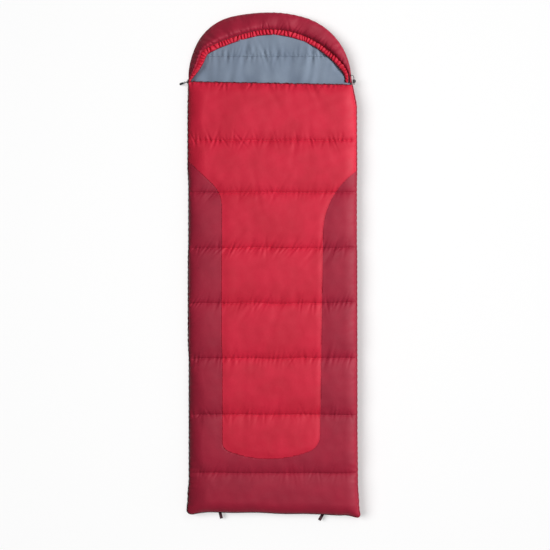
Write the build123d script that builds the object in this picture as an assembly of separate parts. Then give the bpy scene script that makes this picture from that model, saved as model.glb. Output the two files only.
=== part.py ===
"""Hooded blanket-style sleeping bag, zipped shut and lying flat on its back.

Units are millimetres.  +X is the sleeper's left (the folded side), +Y runs from the foot
to the hood and +Z is up.  The origin is on the floor, under the middle of the bag.

The bag is two quilts.  The base quilt carries the hood.  The top quilt is joined to it by
a fold along the right edge, and by a coil zip down the left edge and round the foot.
"""
import math
import os

from build123d import *

# ---------------------------------------------------------------- driving dimensions
SIDE_X = 366.0               # half width of the quilts at their side walls
TOP_Y = 786.0                # top edge of the top quilt
CHANNELS = (180, 254, 246, 240, 240, 242, 227, 251)   # quilted channels, foot to top edge
TOP_EDGE_DROP = 6.0          # the top edge runs this much lower at the folded side
SHOULDER_BELOW = 96.0        # the folded side narrows towards the hood from this far down
FOOT_CORNER_R = 30.0

HOOD_CX = -12.0              # middle of the hood
HOOD_NARROW = 12.0           # the hood is this much narrower than the quilts, each side
HOOD_ABOVE = 14.5            # its sides run this far past the top edge, then curve
HOOD_RISE = 294.0            # height of the hood's curve
HOOD_LEFT_R = (353.0, 228.0, 759.0)  # side, shoulder and crown radius of the hood's left half
HOOD_RIGHT_R = (284.0,)      # side radius of its right half, whose crown radius follows
HOOD_TOP = 70.0              # highest point of the hood's padded band
HOOD_SEAM_RISE = 108.5       # gathered seam across the head lining
ARCH_IN = 26.0               # from the hood's side in to the face opening
ARCH_DOWN = 96.0             # and from its crown down
ARCH_LEFT_R = (146.0,)       # side radii of the face opening's two halves
ARCH_RIGHT_R = (60.0,)
CHANNEL_WIDTH = 24.0         # drawcord channel round the face opening
CHANNEL_HEIGHT = 18.0

BASE_LOFT = 32.0             # thickness of the base quilt
CAVITY = 14.0                # room between the two linings when the bag lies empty
TOP_LOFT = 38.0              # thickness of the top quilt at the middle of a channel
SEAM_DIP = 15.0              # how far a quilting seam pulls the top quilt down
UNDER_DIP = 6.0              # the same on the underside
UNDER_RUN = 30.0             # distance over which the underside rises into a seam
SOLE_RUN = 38.0              # and over which it rises into the side walls
BASE_WALL_FROM = 14.0        # the base's side walls stand upright from here
TOP_WALL = 10.0              # height of the top quilt's upright side wall
SIDE_FALL = 74.0             # width over which the quilts fall away at the sides
SIDE_ROUND = (0.35, 0.72)    # the fall's middle point, as shares of its width and height
ROOF_OVER = 6.0              # the fall starts this far above the channels' crowns
SECTION_OVER = 4.0           # sections run on this far past the walls that cut them off
SECTION_DROP = 8.0           # and are this much lower there, at the sides
FOOT_LIFT = 2.0              # the foot and head walls stand higher than the side walls
HEAD_LIFT = 6.0
BINDING_T = 3.0              # cord-filled binding on the top quilt's free edge
BINDING_LIFT = 6.0
HOOD_WALL = 52.0             # the hood's outer wall stands upright to here
HOOD_SIDE_RUN = 30.0         # and rounds into its top over this width at the sides
HOOD_CROWN_RUN = 40.0        # and over this one at the crown
HOOD_ROUND = (0.26, 0.70)    # the round's middle point, as shares of its width and height

FABRIC = 1.5                 # shell and lining, with their seam allowance
CLEAR = 0.3                  # gap between pieces that lie against each other

PANEL_LEFT = -223.0          # straight edges of the bright centre panel
PANEL_RIGHT = 220.0
PANEL_RIGHT_LOW = 205.0      # the panel is narrower towards the foot
PANEL_FOOT_Y = -851.0
PANEL_CORNER_R = 45.0
PANEL_CORNER_TURN = 70.0     # its corners turn this far, then one shallow arc joins them
FLARE_LEFT = (228.0, 245.0, 56.0)    # where the left flare starts, its radius and its turn
FLARE_RIGHT = (140.0, 312.0, 53.0)

TAPE = 1.0                   # thickness of the zip tape
TAPE_HEIGHT = 20.0
TAPE_ABOVE = 17.0            # upper tape, from the parting line up
COIL_WIDTH = 3.6             # one half of the coil, across the chain's face
COIL_HEIGHT = 3.25           # one half of the coil, along the tape
DRAFT_TUBE = (3.2, 20.0)     # padded strips inside the zip, from and to this far inside
DRAFT_TUBE_END = 46.0        # they stop this far short of the rounded corner
ZIP_SHORT = 2.0              # the upper half's last tooth, below the top edge
ZIP_PAST = 14.0              # the lower half's last tooth, above the top edge
ZIP_STOP = 4.0
ZIP_TAPE_END = 7.0           # tape beyond the lower half's last tooth
ZIP_FOOT_IN = 41.0           # the zip ends this far inside the folded side

PIPING_R = 2.2
STRIP_T = 1.2                # fold strips sewn above and below the piping
STRIP_IN = 45.0              # strips and piping start this far from the foot
STRIP_SHORT = 10.0           # and the strips end this far before the shoulder
SLIDER_LENGTH = 13.5
SLIDER_WIDTH = 11.6
SLIDER_PLATE = 1.7
SLIDER_CORNER_R = 1.6
SLIDER_PARK = 1.5            # from the last upper tooth to the parked slider
POST_LENGTH = 3.5            # wedge between the two halves of the coil
POST_HEIGHT = 2.5
BAIL_LENGTH = 8.4
BAIL_BAR = 1.5               # thickness of the bail's outer bar
BAIL_POST = 1.6              # and of its two feet
BAIL_WIDTH = 2.6
BAIL_GAP = 2.2
PULL_PIN_R = 0.75
PULL_SWING = 10.0            # the pull lies this far round from square, in degrees
PULL_DROOP = 53.0            # and hangs this far below level
PULL_BIGHT = 7.2             # from the pin to where the puller's cord goes through
PULL_ARM = 1.8               # width of the tab's arms
PULL_END = 1.6               # and of its closed end
PULL_CORD_R = 1.4
PULL_CORD_SPREAD = 2.75      # half the distance between the two strands
PULL_NECK = 17.0
PULL_GRIP = 28.0
PULL_GRIP_WIDTH = 10.0
PULL_GRIP_THICK = 5.0
PULL_GRIP_TAPER = 0.84       # width of the grip at its neck, as a share of its widest

CORD_R = 1.25                # hood drawcord
CORD_UP = 6.5                # it runs this far above the piping's centre
CORD_SHORT = 6.0             # its sewn end stops this far inside the channel's left foot
CORD_EXIT_RISE = 20.5        # the cord comes out this far up the hood's curve
EYELET_R = 3.8
EYELET_T = 1.2
EYELET_ROOM = 0.4            # clear all round the cord where it passes through
TAIL_OUT = 7.0               # the free cord runs out this far, then turns
TAIL_TURN = 5.3
TAIL_PAST = 2.7              # and ends this far below the lock
LOCK_LENGTH = 15.0           # cord lock, along the cord
LOCK_WIDTH = 11.0
LOCK_HEIGHT = 10.0
LOCK_DOWN = 34.0             # its lower end, below the cord's exit
LOCK_WALL = 1.3
LOCK_ROUND = 2.4
LOCK_POCKET = (4.3, 3.3)     # half length and half height of the button's pocket
LOCK_SPRING = 2.6            # room for the spring
LOCK_SLIDE = 0.25            # clear all round the button
BUTTON_OUT = 2.8             # how far the button stands out of the lock
BUTTON_PRESS = 2.2
KNOT_R = 2.4

LOOP_WIDTH = 13.0            # hang loop of folded webbing
LOOP_LENGTH = 28.0
LOOP_BULGE_R = 5.3           # outer radius of the fold
LOOP_T = 1.4
LOOP_ROOT = (1.6, 0.6)       # half height of the loop and of its gap at the stitching
LOOP_SEWN = 6.0              # length where the two layers are stitched together
LOOP_Z = 20.0
TAB_WIDTH = 18.0             # stitched tab that carries a loop
TAB_HEIGHT = 10.0
TAB_T = 1.2
LOOPS = {"left": (-228.0, 14.0), "right": (212.0, -30.0)}    # place and skew in degrees

# ---------------------------------------------------------------- derived levels
FOOT_Y = TOP_Y - sum(CHANNELS)               # outer face of the foot wall
SHOULDER_Y = TOP_Y - SHOULDER_BELOW
HOOD_HALF = SIDE_X - HOOD_NARROW             # half width of the hood
HOOD_SPRING_Y = TOP_Y + HOOD_ABOVE           # where the hood's curve begins
HOOD_SEAM_Y = HOOD_SPRING_Y + HOOD_SEAM_RISE
ARCH_HALF = HOOD_HALF - ARCH_IN              # half width of the face opening
ARCH_RISE = HOOD_RISE - ARCH_DOWN
ZIP_UPPER_TOP = TOP_Y - ZIP_SHORT
ZIP_LOWER_TOP = TOP_Y + ZIP_PAST
ZIP_TAPE_TOP = ZIP_LOWER_TOP + ZIP_TAPE_END
ZIP_FOOT_END = SIDE_X - ZIP_FOOT_IN
CORD_EXIT_Y = HOOD_SPRING_Y + CORD_EXIT_RISE
LOCK_LOW_Y = CORD_EXIT_Y - LOCK_DOWN
TOP_LOW = BASE_LOFT + CAVITY                 # underside of the top quilt
FOLD_Z = BASE_LOFT + CAVITY / 2              # parting line of the zip, axis of the fold
CORD_Z = FOLD_Z + CORD_UP
CROWN_Z = TOP_LOW + TOP_LOFT
SEAM_Z = CROWN_Z - SEAM_DIP
PIPING_OUT = CLEAR + PIPING_R                # piping's centre, outside the side wall
FOLD_X = SIDE_X + PIPING_OUT
HOOD_TOP_Y = HOOD_SPRING_Y + HOOD_RISE
SEAMS = [FOOT_Y + sum(CHANNELS[:i]) for i in range(len(CHANNELS) + 1)]
TAB_IN = 2 * CLEAR + TAPE                    # the loops' tabs lie on the zip tape
TAB_OUT = TAB_IN + TAB_T
COIL_OUT = 2 * CLEAR + TAPE + COIL_WIDTH     # outer face of the coil, from the side wall
SLIDER_FACE = COIL_OUT + CLEAR               # inner face of the slider's outer plate
FAR = 3000.0                                 # larger than the whole bag


def save(node, shape):
    """Write one piece to parts/."""
    export_step(shape, f"parts/{node}.step")


def box(x0, x1, y0, y1, z0, z1):
    """An upright block between six limits."""
    size = Box(x1 - x0, y1 - y0, z1 - z0)
    return Pos((x0 + x1) / 2, (y0 + y1) / 2, (z0 + z1) / 2) * size


def prism(edges, z0, z1):
    """A flat outline, drawn on XY, raised from z0 to z1."""
    return Pos(0, 0, z0) * extrude(make_face(edges), amount=z1 - z0, dir=(0, 0, 1))


def along_x(edges):
    """An outline drawn as (y, z), as long as the bag is wide and more."""
    return extrude(Plane.YZ * make_face(edges), amount=FAR / 2, both=True)


def along_y(edges):
    """An outline drawn as (x, z), as long as the bag and more."""
    return extrude(Plane.XZ * make_face(edges), amount=FAR / 2, both=True)


# ---------------------------------------------------------------- outlines in plan
def on_circle(cx, cy, radius, degrees):
    angle = math.radians(degrees)
    return (cx + radius * math.cos(angle), cy + radius * math.sin(angle))


def half_arcs(half, rise, radii):
    """Arcs of one half of an arch, foot to crown: centre x and y, radius, first and last angle.

    The foot is upright at (half, 0) and the crown is level at (0, rise).  One radius gives
    a side arc and the crown arc that closes it.  Three give a side, a shoulder and a crown
    arc: the shoulder's centre lies off the other two centres by the radii's differences.
    """
    side_r = radii[0]
    if len(radii) == 1:
        reach = half - side_r
        crown_r = (reach**2 + rise**2 - side_r**2) / (2 * (rise - side_r))
        meet = math.degrees(math.atan2(crown_r - rise, reach))
        return [(reach, 0, side_r, 0, meet), (0, rise - crown_r, crown_r, meet, 90)]
    shoulder_r, crown_r = radii[1:]
    from_side = side_r - shoulder_r
    from_crown = crown_r - shoulder_r
    between = math.hypot(side_r - half, rise - crown_r)
    cosine = (from_side**2 + between**2 - from_crown**2) / (2 * between * from_side)
    low = math.atan2(rise - crown_r, side_r - half) + math.acos(cosine)
    x = half - side_r + from_side * math.cos(low)
    y = from_side * math.sin(low)
    high = math.atan2(y - rise + crown_r, x)
    low, high = math.degrees(low), math.degrees(high)
    return [(half - side_r, 0, side_r, 0, low), (x, y, shoulder_r, low, high),
            (0, rise - crown_r, crown_r, high, 90)]


def arch(half, rise, right_radii, left_radii, grow):
    """An arch over the hood's middle, from its right foot over the crown to its left foot.

    All its arcs are grown outwards by the same amount about the same centres, so that two
    arches stay parallel.
    """
    right = half_arcs(half, rise, right_radii)
    left = [(-x, y, r, 180 - end, 180 - start)
            for x, y, r, start, end in reversed(half_arcs(half, rise, left_radii))]
    return [
        ThreePointArc(*[on_circle(HOOD_CX + x, HOOD_SPRING_Y + y, r + grow, a)
                        for a in (start, (start + end) / 2, end)])
        for x, y, r, start, end in right + left
    ]


def hood_arch(inset):
    return arch(HOOD_HALF, HOOD_RISE, HOOD_RIGHT_R, HOOD_LEFT_R, -inset)


def face_arch(grow):
    return arch(ARCH_HALF, ARCH_RISE, ARCH_RIGHT_R, ARCH_LEFT_R, grow)


def closed(edges):
    """An arch closed by a straight line between its feet."""
    return edges + [Line(edges[-1] @ 1, edges[0] @ 0)]


def sides_and_foot(inset):
    """Outline from the left side down, round the foot and up to the folded side's shoulder.

    Returned as the points that the straight parts run between and the two foot corners.
    """
    x = SIDE_X - inset
    y = FOOT_Y + inset
    r = FOOT_CORNER_R - inset
    left = ThreePointArc(*[on_circle(-x + r, y + r, r, a) for a in (180, 225, 270)])
    right = ThreePointArc(*[on_circle(x - r, y + r, r, a) for a in (270, 315, 360)])
    return x, y, r, left, right


def base_outline(inset):
    """The whole bag in plan, foot to hood."""
    x, y, r, left, right = sides_and_foot(inset)
    hood_right = (HOOD_CX + HOOD_HALF - inset, HOOD_SPRING_Y)
    hood_left = (HOOD_CX - HOOD_HALF + inset, HOOD_SPRING_Y)
    return [
        Line(hood_left, (-x, y + r)),
        left,
        Line((-x + r, y), (x - r, y)),
        right,
        Line((x, y + r), (x, SHOULDER_Y)),
        Line((x, SHOULDER_Y), hood_right),
    ] + hood_arch(inset)


def top_outline(inset):
    """The top quilt in plan.  Its free edge drops a little towards the folded side."""
    x, y, r, left, right = sides_and_foot(inset)
    hood_right_x = HOOD_CX + HOOD_HALF
    corner_y = TOP_Y - TOP_EDGE_DROP
    narrowing = (SIDE_X - hood_right_x) / (HOOD_SPRING_Y - SHOULDER_Y)
    corner_x = SIDE_X - narrowing * (corner_y - SHOULDER_Y)
    return [
        Line((-x, TOP_Y - inset), (-x, y + r)),
        left,
        Line((-x + r, y), (x - r, y)),
        right,
        Line((x, y + r), (x, SHOULDER_Y)),
        Line((x, SHOULDER_Y), (corner_x - inset, corner_y - inset)),
        Line((corner_x - inset, corner_y - inset), (-x, TOP_Y - inset)),
    ]


def flare(x, start_y, radius, turn, side):
    """The centre panel's edge: straight, then an arc out to the side, then on in line."""
    middle = x + side * radius
    arc = ThreePointArc(*[
        (middle - side * radius * math.cos(math.radians(a)),
         start_y + radius * math.sin(math.radians(a)))
        for a in (0, turn / 2, turn)
    ])
    end = arc @ 1
    slope = 1 / math.tan(math.radians(turn))
    out_x = side * (SIDE_X + 40)
    out = (out_x, end.Y + slope * abs(out_x - end.X))
    return arc, Line((end.X, end.Y), out), out


def panel_outline(grow):
    """Bright centre panel: a rounded tongue that flares to the full width at the top."""
    left_x = PANEL_LEFT - grow
    right_x = PANEL_RIGHT + grow
    low_x = PANEL_RIGHT_LOW + grow
    foot_y = PANEL_FOOT_Y - grow
    r = PANEL_CORNER_R + grow
    left_y, left_r, left_turn = FLARE_LEFT
    right_y, right_r, right_turn = FLARE_RIGHT
    left_arc, left_run, left_out = flare(left_x, left_y, left_r - grow, left_turn, -1)
    right_arc, right_run, right_out = flare(right_x, right_y, right_r - grow, right_turn, 1)
    top = TOP_Y + 100
    turn = PANEL_CORNER_TURN
    corner_in = r * (1 - math.cos(math.radians(turn)))
    half = (low_x - left_x) / 2 - corner_in
    sag = half * math.tan(math.radians(90 - turn) / 2)
    corner_y = foot_y + sag + r * math.sin(math.radians(turn))
    foot_left = ThreePointArc(
        *[on_circle(left_x + r, corner_y, r, 180 + a) for a in (0, turn / 2, turn)])
    foot_right = ThreePointArc(
        *[on_circle(low_x - r, corner_y, r, 360 - a) for a in (turn, turn / 2, 0)])
    return [
        Line((left_x, left_y), (left_x, corner_y)),
        foot_left,
        ThreePointArc(foot_left @ 1, ((left_x + low_x) / 2, foot_y), foot_right @ 0),
        foot_right,
        Line((low_x, corner_y), (right_x, right_y)),
        right_arc,
        right_run,
        Line(right_out, (right_out[0], top)),
        Line((right_out[0], top), (left_out[0], top)),
        Line((left_out[0], top), left_out),
        left_run,
        left_arc,
    ]


# ---------------------------------------------------------------- the two quilts
def rise(flat, raised):
    """Arc that leaves the level at flat and ends at raised, both (along, z) points."""
    run = raised[0] - flat[0]
    height = raised[1] - flat[1]
    radius = (run**2 + height**2) / (2 * height)
    half = math.asin(min(1.0, abs(run) / radius)) / 2
    middle = (flat[0] + math.copysign(radius * math.sin(half), run),
              flat[1] + radius * (1 - math.cos(half)))
    return ThreePointArc(flat, middle, raised)


def base_quilt(inset, top_z):
    """The base quilt's space, drawn in by inset all round, and cut off level at top_z.

    Lengthwise it has a flat sole for each channel, rising into each seam.
    Across, its lower corners are rounded up into upright side walls.
    """
    head_y = HOOD_TOP_Y - inset
    foot_y = FOOT_Y + inset
    low = inset
    seam = UNDER_DIP + inset
    stops = SEAMS[1:] + [HOOD_SEAM_Y]
    edges = [Line((head_y, top_z), (foot_y, top_z)),
             Line((foot_y, top_z), (foot_y, BASE_WALL_FROM)),
             rise((foot_y + SOLE_RUN, low), (foot_y, BASE_WALL_FROM))]
    at = foot_y + SOLE_RUN
    for y in stops:
        edges.append(Line((at, low), (y - UNDER_RUN, low)))
        edges.append(rise((y - UNDER_RUN, low), (y, seam)))
        edges.append(rise((y + UNDER_RUN, low), (y, seam)))
        at = y + UNDER_RUN
    edges.append(Line((at, low), (head_y - SOLE_RUN, low)))
    edges.append(rise((head_y - SOLE_RUN, low), (head_y, BASE_WALL_FROM)))
    edges.append(Line((head_y, BASE_WALL_FROM), (head_y, top_z)))
    x = SIDE_X - inset
    across = [Line((-x, top_z), (-x, BASE_WALL_FROM)),
              rise((-x + SOLE_RUN, low), (-x, BASE_WALL_FROM)),
              Line((-x + SOLE_RUN, low), (x - SOLE_RUN, low)),
              rise((x - SOLE_RUN, low), (x, BASE_WALL_FROM)),
              Line((x, BASE_WALL_FROM), (x, top_z)),
              Line((x, top_z), (-x, top_z))]
    return along_x(edges) & along_y(across) & prism(base_outline(inset), -1, top_z + 1)


def top_quilt(inset, low_z):
    """The top quilt's space, drawn in by inset at the top and sides, and flat at low_z.

    Lengthwise each channel is an arc from seam to seam.  Across, the sides fall away in
    a curve to a short upright wall, where the zip tape is sewn.
    """
    over = SECTION_OVER - inset
    ys = [SEAMS[0] - over] + SEAMS[1:-1] + [SEAMS[-1] + over]
    wall = TOP_LOW + TOP_WALL - inset
    heights = [wall + FOOT_LIFT] + [SEAM_Z - inset] * (len(ys) - 2) + [wall + HEAD_LIFT]
    edges = [Line((ys[-1], low_z), (ys[0], low_z)), Line((ys[0], low_z), (ys[0], heights[0]))]
    for i in range(len(ys) - 1):
        start = (ys[i], heights[i])
        end = (ys[i + 1], heights[i + 1])
        middle = ((ys[i] + ys[i + 1]) / 2, CROWN_Z - inset)
        edges.append(ThreePointArc(start, middle, end))
    edges.append(Line((ys[-1], heights[-1]), (ys[-1], low_z)))
    roof = CROWN_Z + ROOF_OVER - inset
    share_in, share_up = SIDE_ROUND
    flat_x = SIDE_X - inset - SIDE_FALL
    part_x = flat_x + (1 - share_in) * SIDE_FALL
    part_z = wall + share_up * (roof - wall)
    end_x = SIDE_X + over
    end_z = wall - SECTION_DROP
    across = [Line((-end_x, low_z), (-end_x, end_z)),
              ThreePointArc((-end_x, end_z), (-part_x, part_z), (-flat_x, roof)),
              Line((-flat_x, roof), (flat_x, roof)),
              ThreePointArc((flat_x, roof), (part_x, part_z), (end_x, end_z)),
              Line((end_x, end_z), (end_x, low_z)),
              Line((end_x, low_z), (-end_x, low_z))]
    return along_x(edges) & along_y(across) & prism(top_outline(inset), low_z - 1, roof + 1)


def round_over(low, high, low_z, top, wall, reach):
    """A cross section (along, z) with upright walls, rounded into its top over reach.

    Each round is an arc through a point a third of the way in and most of the way up.
    """
    part_in = reach * HOOD_ROUND[0]
    part_up = wall + (top - wall) * HOOD_ROUND[1]
    return [Line((low, low_z), (low, wall)),
            ThreePointArc((low, wall), (low + part_in, part_up), (low + reach, top)),
            Line((low + reach, top), (high - reach, top)),
            ThreePointArc((high - reach, top), (high - part_in, part_up), (high, wall)),
            Line((high, wall), (high, low_z)),
            Line((high, low_z), (low, low_z))]


def hood_band(inset, low_z):
    """The padded band of the hood, between its outer edge and the drawcord channel.

    Its top is rounded over at both sides and at the crown of the hood.  The lengthwise
    section runs on below the band, so that only its upper round shapes the crown.
    """
    spring = HOOD_SPRING_Y
    top_z = HOOD_TOP - inset
    plan = prism(closed(hood_arch(inset)), low_z, top_z)
    plan -= prism(closed(face_arch(CHANNEL_WIDTH + CLEAR + inset)), low_z - 1, top_z + 1)
    plan &= box(-FAR, FAR, spring + inset, FAR, low_z - 1, top_z + 1)
    wall = HOOD_WALL - inset
    left = HOOD_CX - HOOD_HALF + inset
    right = HOOD_CX + HOOD_HALF - inset
    across = round_over(left, right, low_z - 1, top_z + 1, wall, HOOD_SIDE_RUN)
    below = spring - 2 * HOOD_CROWN_RUN
    lengthwise = round_over(below, HOOD_TOP_Y - inset, low_z - 1, top_z + 1, wall,
                            HOOD_CROWN_RUN)
    return plan & along_y(across) & along_x(lengthwise)


def quilted_base():
    """Shell, batting and linings of the base quilt and the back of the hood."""
    inner = FABRIC + CLEAR
    save("bottom_shell", base_quilt(0, BASE_LOFT) - base_quilt(FABRIC, BASE_LOFT + 1))
    save("bottom_insulation", base_quilt(inner, BASE_LOFT - inner))
    lining = prism(base_outline(inner), BASE_LOFT - FABRIC, BASE_LOFT)
    head = box(-FAR, FAR, HOOD_SEAM_Y + CLEAR / 2, FAR, 0, FAR)
    body = box(-FAR, FAR, -FAR, HOOD_SEAM_Y - CLEAR / 2, 0, FAR)
    save("hood_lining", lining & head)
    save("bottom_lining", lining & body)


def quilted_top():
    """Two-colour shell, batting, lining and edge binding of the top quilt."""
    inner = FABRIC + CLEAR
    skin = top_quilt(0, TOP_LOW) - top_quilt(FABRIC, TOP_LOW - 1)
    save("top_shell_centre", skin & prism(panel_outline(0), TOP_LOW - 1, CROWN_Z + 20))
    save("top_shell_surround", skin - prism(panel_outline(CLEAR), TOP_LOW - 1, CROWN_Z + 20))
    save("top_insulation", top_quilt(inner, TOP_LOW + inner))
    save("top_lining", prism(top_outline(inner), TOP_LOW, TOP_LOW + FABRIC))
    right_x = HOOD_CX + HOOD_HALF - BINDING_T
    drop = TOP_EDGE_DROP * (right_x + SIDE_X) / (2 * SIDE_X)
    near = TOP_Y + CLEAR
    far = near + BINDING_T
    edge = [(-SIDE_X, near), (right_x, near - drop), (right_x, far - drop), (-SIDE_X, far)]
    top_z = TOP_LOW + TOP_WALL + BINDING_LIFT
    save("top_edge_binding", prism(Polyline(*edge, close=True).edges(), TOP_LOW, top_z))


def padded_hood():
    """Shell and batting of the hood's band, the drawcord channel and its cord."""
    rest = BASE_LOFT + CLEAR
    inner = FABRIC + CLEAR
    exit_x = HOOD_CX + HOOD_HALF
    cord_hole = Pos(exit_x, CORD_EXIT_Y, CORD_Z) * Rot(0, 90, 0) * Cylinder(CORD_R + EYELET_ROOM, 60)
    shell = hood_band(0, rest) - hood_band(FABRIC, rest - 1)
    save("hood_shell", shell - cord_hole)
    save("hood_insulation", hood_band(inner, rest))

    top_z = rest + CHANNEL_HEIGHT
    ring = prism(closed(face_arch(CHANNEL_WIDTH)), rest, top_z)
    ring -= prism(closed(face_arch(0)), rest - 1, top_z + 1)
    bore = prism(closed(face_arch(CHANNEL_WIDTH - FABRIC)), rest + FABRIC, top_z - FABRIC)
    bore -= prism(closed(face_arch(FABRIC)), rest, top_z)
    bore &= box(-FAR, FAR, HOOD_SPRING_Y + FABRIC, FAR, 0, FAR)
    save("hood_drawcord_channel", ring - bore - cord_hole)

    # The cord follows the middle of the channel, then turns out through the eyelet.
    route = face_arch(CHANNEL_WIDTH / 2)
    turn_r = 6 * CORD_R
    side_r = ARCH_RIGHT_R[0] + CHANNEL_WIDTH / 2
    side_cx = HOOD_CX + ARCH_HALF - ARCH_RIGHT_R[0]
    lift = math.asin((CORD_EXIT_Y + turn_r - HOOD_SPRING_Y) / (side_r + turn_r))
    leave = (side_cx + side_r * math.cos(lift), HOOD_SPRING_Y + side_r * math.sin(lift))
    turn_cx = side_cx + (side_r + turn_r) * math.cos(lift)
    turn = ThreePointArc(leave, on_circle(turn_cx, CORD_EXIT_Y + turn_r, turn_r,
                                          (180 + math.degrees(lift) + 270) / 2),
                         (turn_cx, CORD_EXIT_Y))
    start = route[0] @ 1
    side_arc = ThreePointArc((start.X, start.Y),
                             on_circle(side_cx, HOOD_SPRING_Y, side_r,
                                       (math.degrees(lift)
                                        + math.degrees(math.atan2(start.Y - HOOD_SPRING_Y,
                                                                  start.X - side_cx))) / 2),
                             leave)
    out = Line((turn_cx, CORD_EXIT_Y), (exit_x + CLEAR + EYELET_T, CORD_EXIT_Y))
    left_leg = route[-1].trim(0, 1 - CORD_SHORT / route[-1].length)
    wire = Wire([out, turn, side_arc] + route[1:-1] + [left_leg])
    section = Plane(wire @ 0, z_dir=wire % 0) * Circle(CORD_R)
    save("hood_drawcord", Pos(0, 0, CORD_Z) * sweep(section, path=wire))
    eyelet = Cylinder(EYELET_R, EYELET_T) - Cylinder(CORD_R + EYELET_ROOM, 2 * EYELET_T)
    save("drawcord_eyelet",
         Pos(exit_x + CLEAR + EYELET_T / 2, CORD_EXIT_Y, CORD_Z) * Rot(0, 90, 0) * eyelet)


# ---------------------------------------------------------------- edge trims
def edge_trims():
    """Piping round the folded side and the hood, and the two strips sewn beside it."""
    grow = PIPING_OUT
    bend = 30.0
    hood_x = HOOD_CX + HOOD_HALF + grow
    slant = math.atan2(FOLD_X - hood_x, HOOD_SPRING_Y - SHOULDER_Y)
    cut = bend * math.tan(slant / 2)
    step = (math.sin(slant) * cut, math.cos(slant) * cut)
    low_in = (FOLD_X, SHOULDER_Y - cut)
    low_out = (FOLD_X - step[0], SHOULDER_Y + step[1])
    high_in = (hood_x + step[0], HOOD_SPRING_Y - step[1])
    outer = hood_arch(-grow)
    low_mid = on_circle(FOLD_X - bend, SHOULDER_Y - cut, bend, math.degrees(slant) / 2)
    high_cx = hood_x + bend
    high_mid = on_circle(high_cx, HOOD_SPRING_Y + cut, bend, 180 + math.degrees(slant) / 2)
    first = outer[0].trim(cut / outer[0].length, 1)
    end_y = ZIP_TAPE_TOP + 6
    last = outer[-1].trim(0, 1 - (end_y - HOOD_SPRING_Y) / outer[-1].length)
    wire = Wire([
        Line((FOLD_X, FOOT_Y + STRIP_IN), low_in),
        ThreePointArc(low_in, low_mid, low_out),
        Line(low_out, high_in),
        ThreePointArc(high_in, high_mid, first @ 0),
        first,
    ] + outer[1:-1] + [last])
    section = Plane(wire @ 0, z_dir=wire % 0) * Circle(PIPING_R)
    save("edge_piping", Pos(0, 0, FOLD_Z) * sweep(section, path=wire))

    x0 = SIDE_X + CLEAR
    x1 = x0 + STRIP_T
    y0 = FOOT_Y + STRIP_IN
    y1 = SHOULDER_Y - STRIP_SHORT
    reach = PIPING_R + CLEAR
    low_z = BASE_WALL_FROM + FOOT_LIFT
    save("fold_strip_lower", box(x0, x1, y0, y1, low_z, FOLD_Z - reach))
    save("fold_strip_upper", box(x0, x1, y0, y1, FOLD_Z + reach, TOP_LOW + TOP_WALL))


# ---------------------------------------------------------------- zip
def zip_band(near, far, z0, z1, top_y):
    """A strip along the left side and the foot, between two distances from the wall."""
    ring = prism(base_outline(-far), z0, z1) - prism(base_outline(-near), z0 - 1, z1 + 1)
    left = box(-FAR, -SIDE_X + FOOT_CORNER_R + 20, -FAR, top_y, 0, FAR)
    foot = box(-SIDE_X, ZIP_FOOT_END, -FAR, FOOT_Y + FOOT_CORNER_R + 20, 0, FAR)
    return ring & (left + foot)


def zip_chain():
    """Two tapes, each with its half of the coil, the two stops and the draft tubes."""
    gap = CLEAR / 2
    tape_in = CLEAR
    tape_out = CLEAR + TAPE
    coil_in = tape_out + CLEAR
    coil_out = COIL_OUT
    save("zip_tape_lower", zip_band(tape_in, tape_out, FOLD_Z - TAPE_HEIGHT, FOLD_Z - gap,
                                    ZIP_TAPE_TOP))
    save("zip_tape_upper", zip_band(tape_in, tape_out, FOLD_Z + gap, FOLD_Z + TAPE_ABOVE,
                                    ZIP_UPPER_TOP))
    save("zip_coil_lower", zip_band(coil_in, coil_out, FOLD_Z - gap - COIL_HEIGHT, FOLD_Z - gap,
                                    ZIP_LOWER_TOP))
    save("zip_coil_upper", zip_band(coil_in, coil_out, FOLD_Z + gap, FOLD_Z + gap + COIL_HEIGHT,
                                    ZIP_UPPER_TOP))
    stop_y = ZIP_LOWER_TOP + CLEAR
    save("zip_top_stop", box(-SIDE_X - coil_out, -SIDE_X - coil_in, stop_y, stop_y + ZIP_STOP,
                             FOLD_Z - gap - COIL_HEIGHT, FOLD_Z - gap))
    stop_x = ZIP_FOOT_END + CLEAR
    save("zip_bottom_stop", box(stop_x, stop_x + ZIP_STOP, FOOT_Y - coil_out, FOOT_Y - tape_in,
                                FOLD_Z - gap - COIL_HEIGHT, FOLD_Z - gap))
    near, far = DRAFT_TUBE
    x = -SIDE_X
    z = (BASE_LOFT + CLEAR, TOP_LOW - 2 * CLEAR)
    save("draft_tube_side",
         box(x + near, x + far, FOOT_Y + DRAFT_TUBE_END, TOP_Y - STRIP_SHORT, *z))
    save("draft_tube_foot",
         box(x + DRAFT_TUBE_END, ZIP_FOOT_END, FOOT_Y + near, FOOT_Y + far, *z))


def slider_place():
    """Middle of the parked slider along the zip, just past the last upper tooth."""
    return ZIP_UPPER_TOP + SLIDER_PARK + SLIDER_LENGTH / 2


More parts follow.
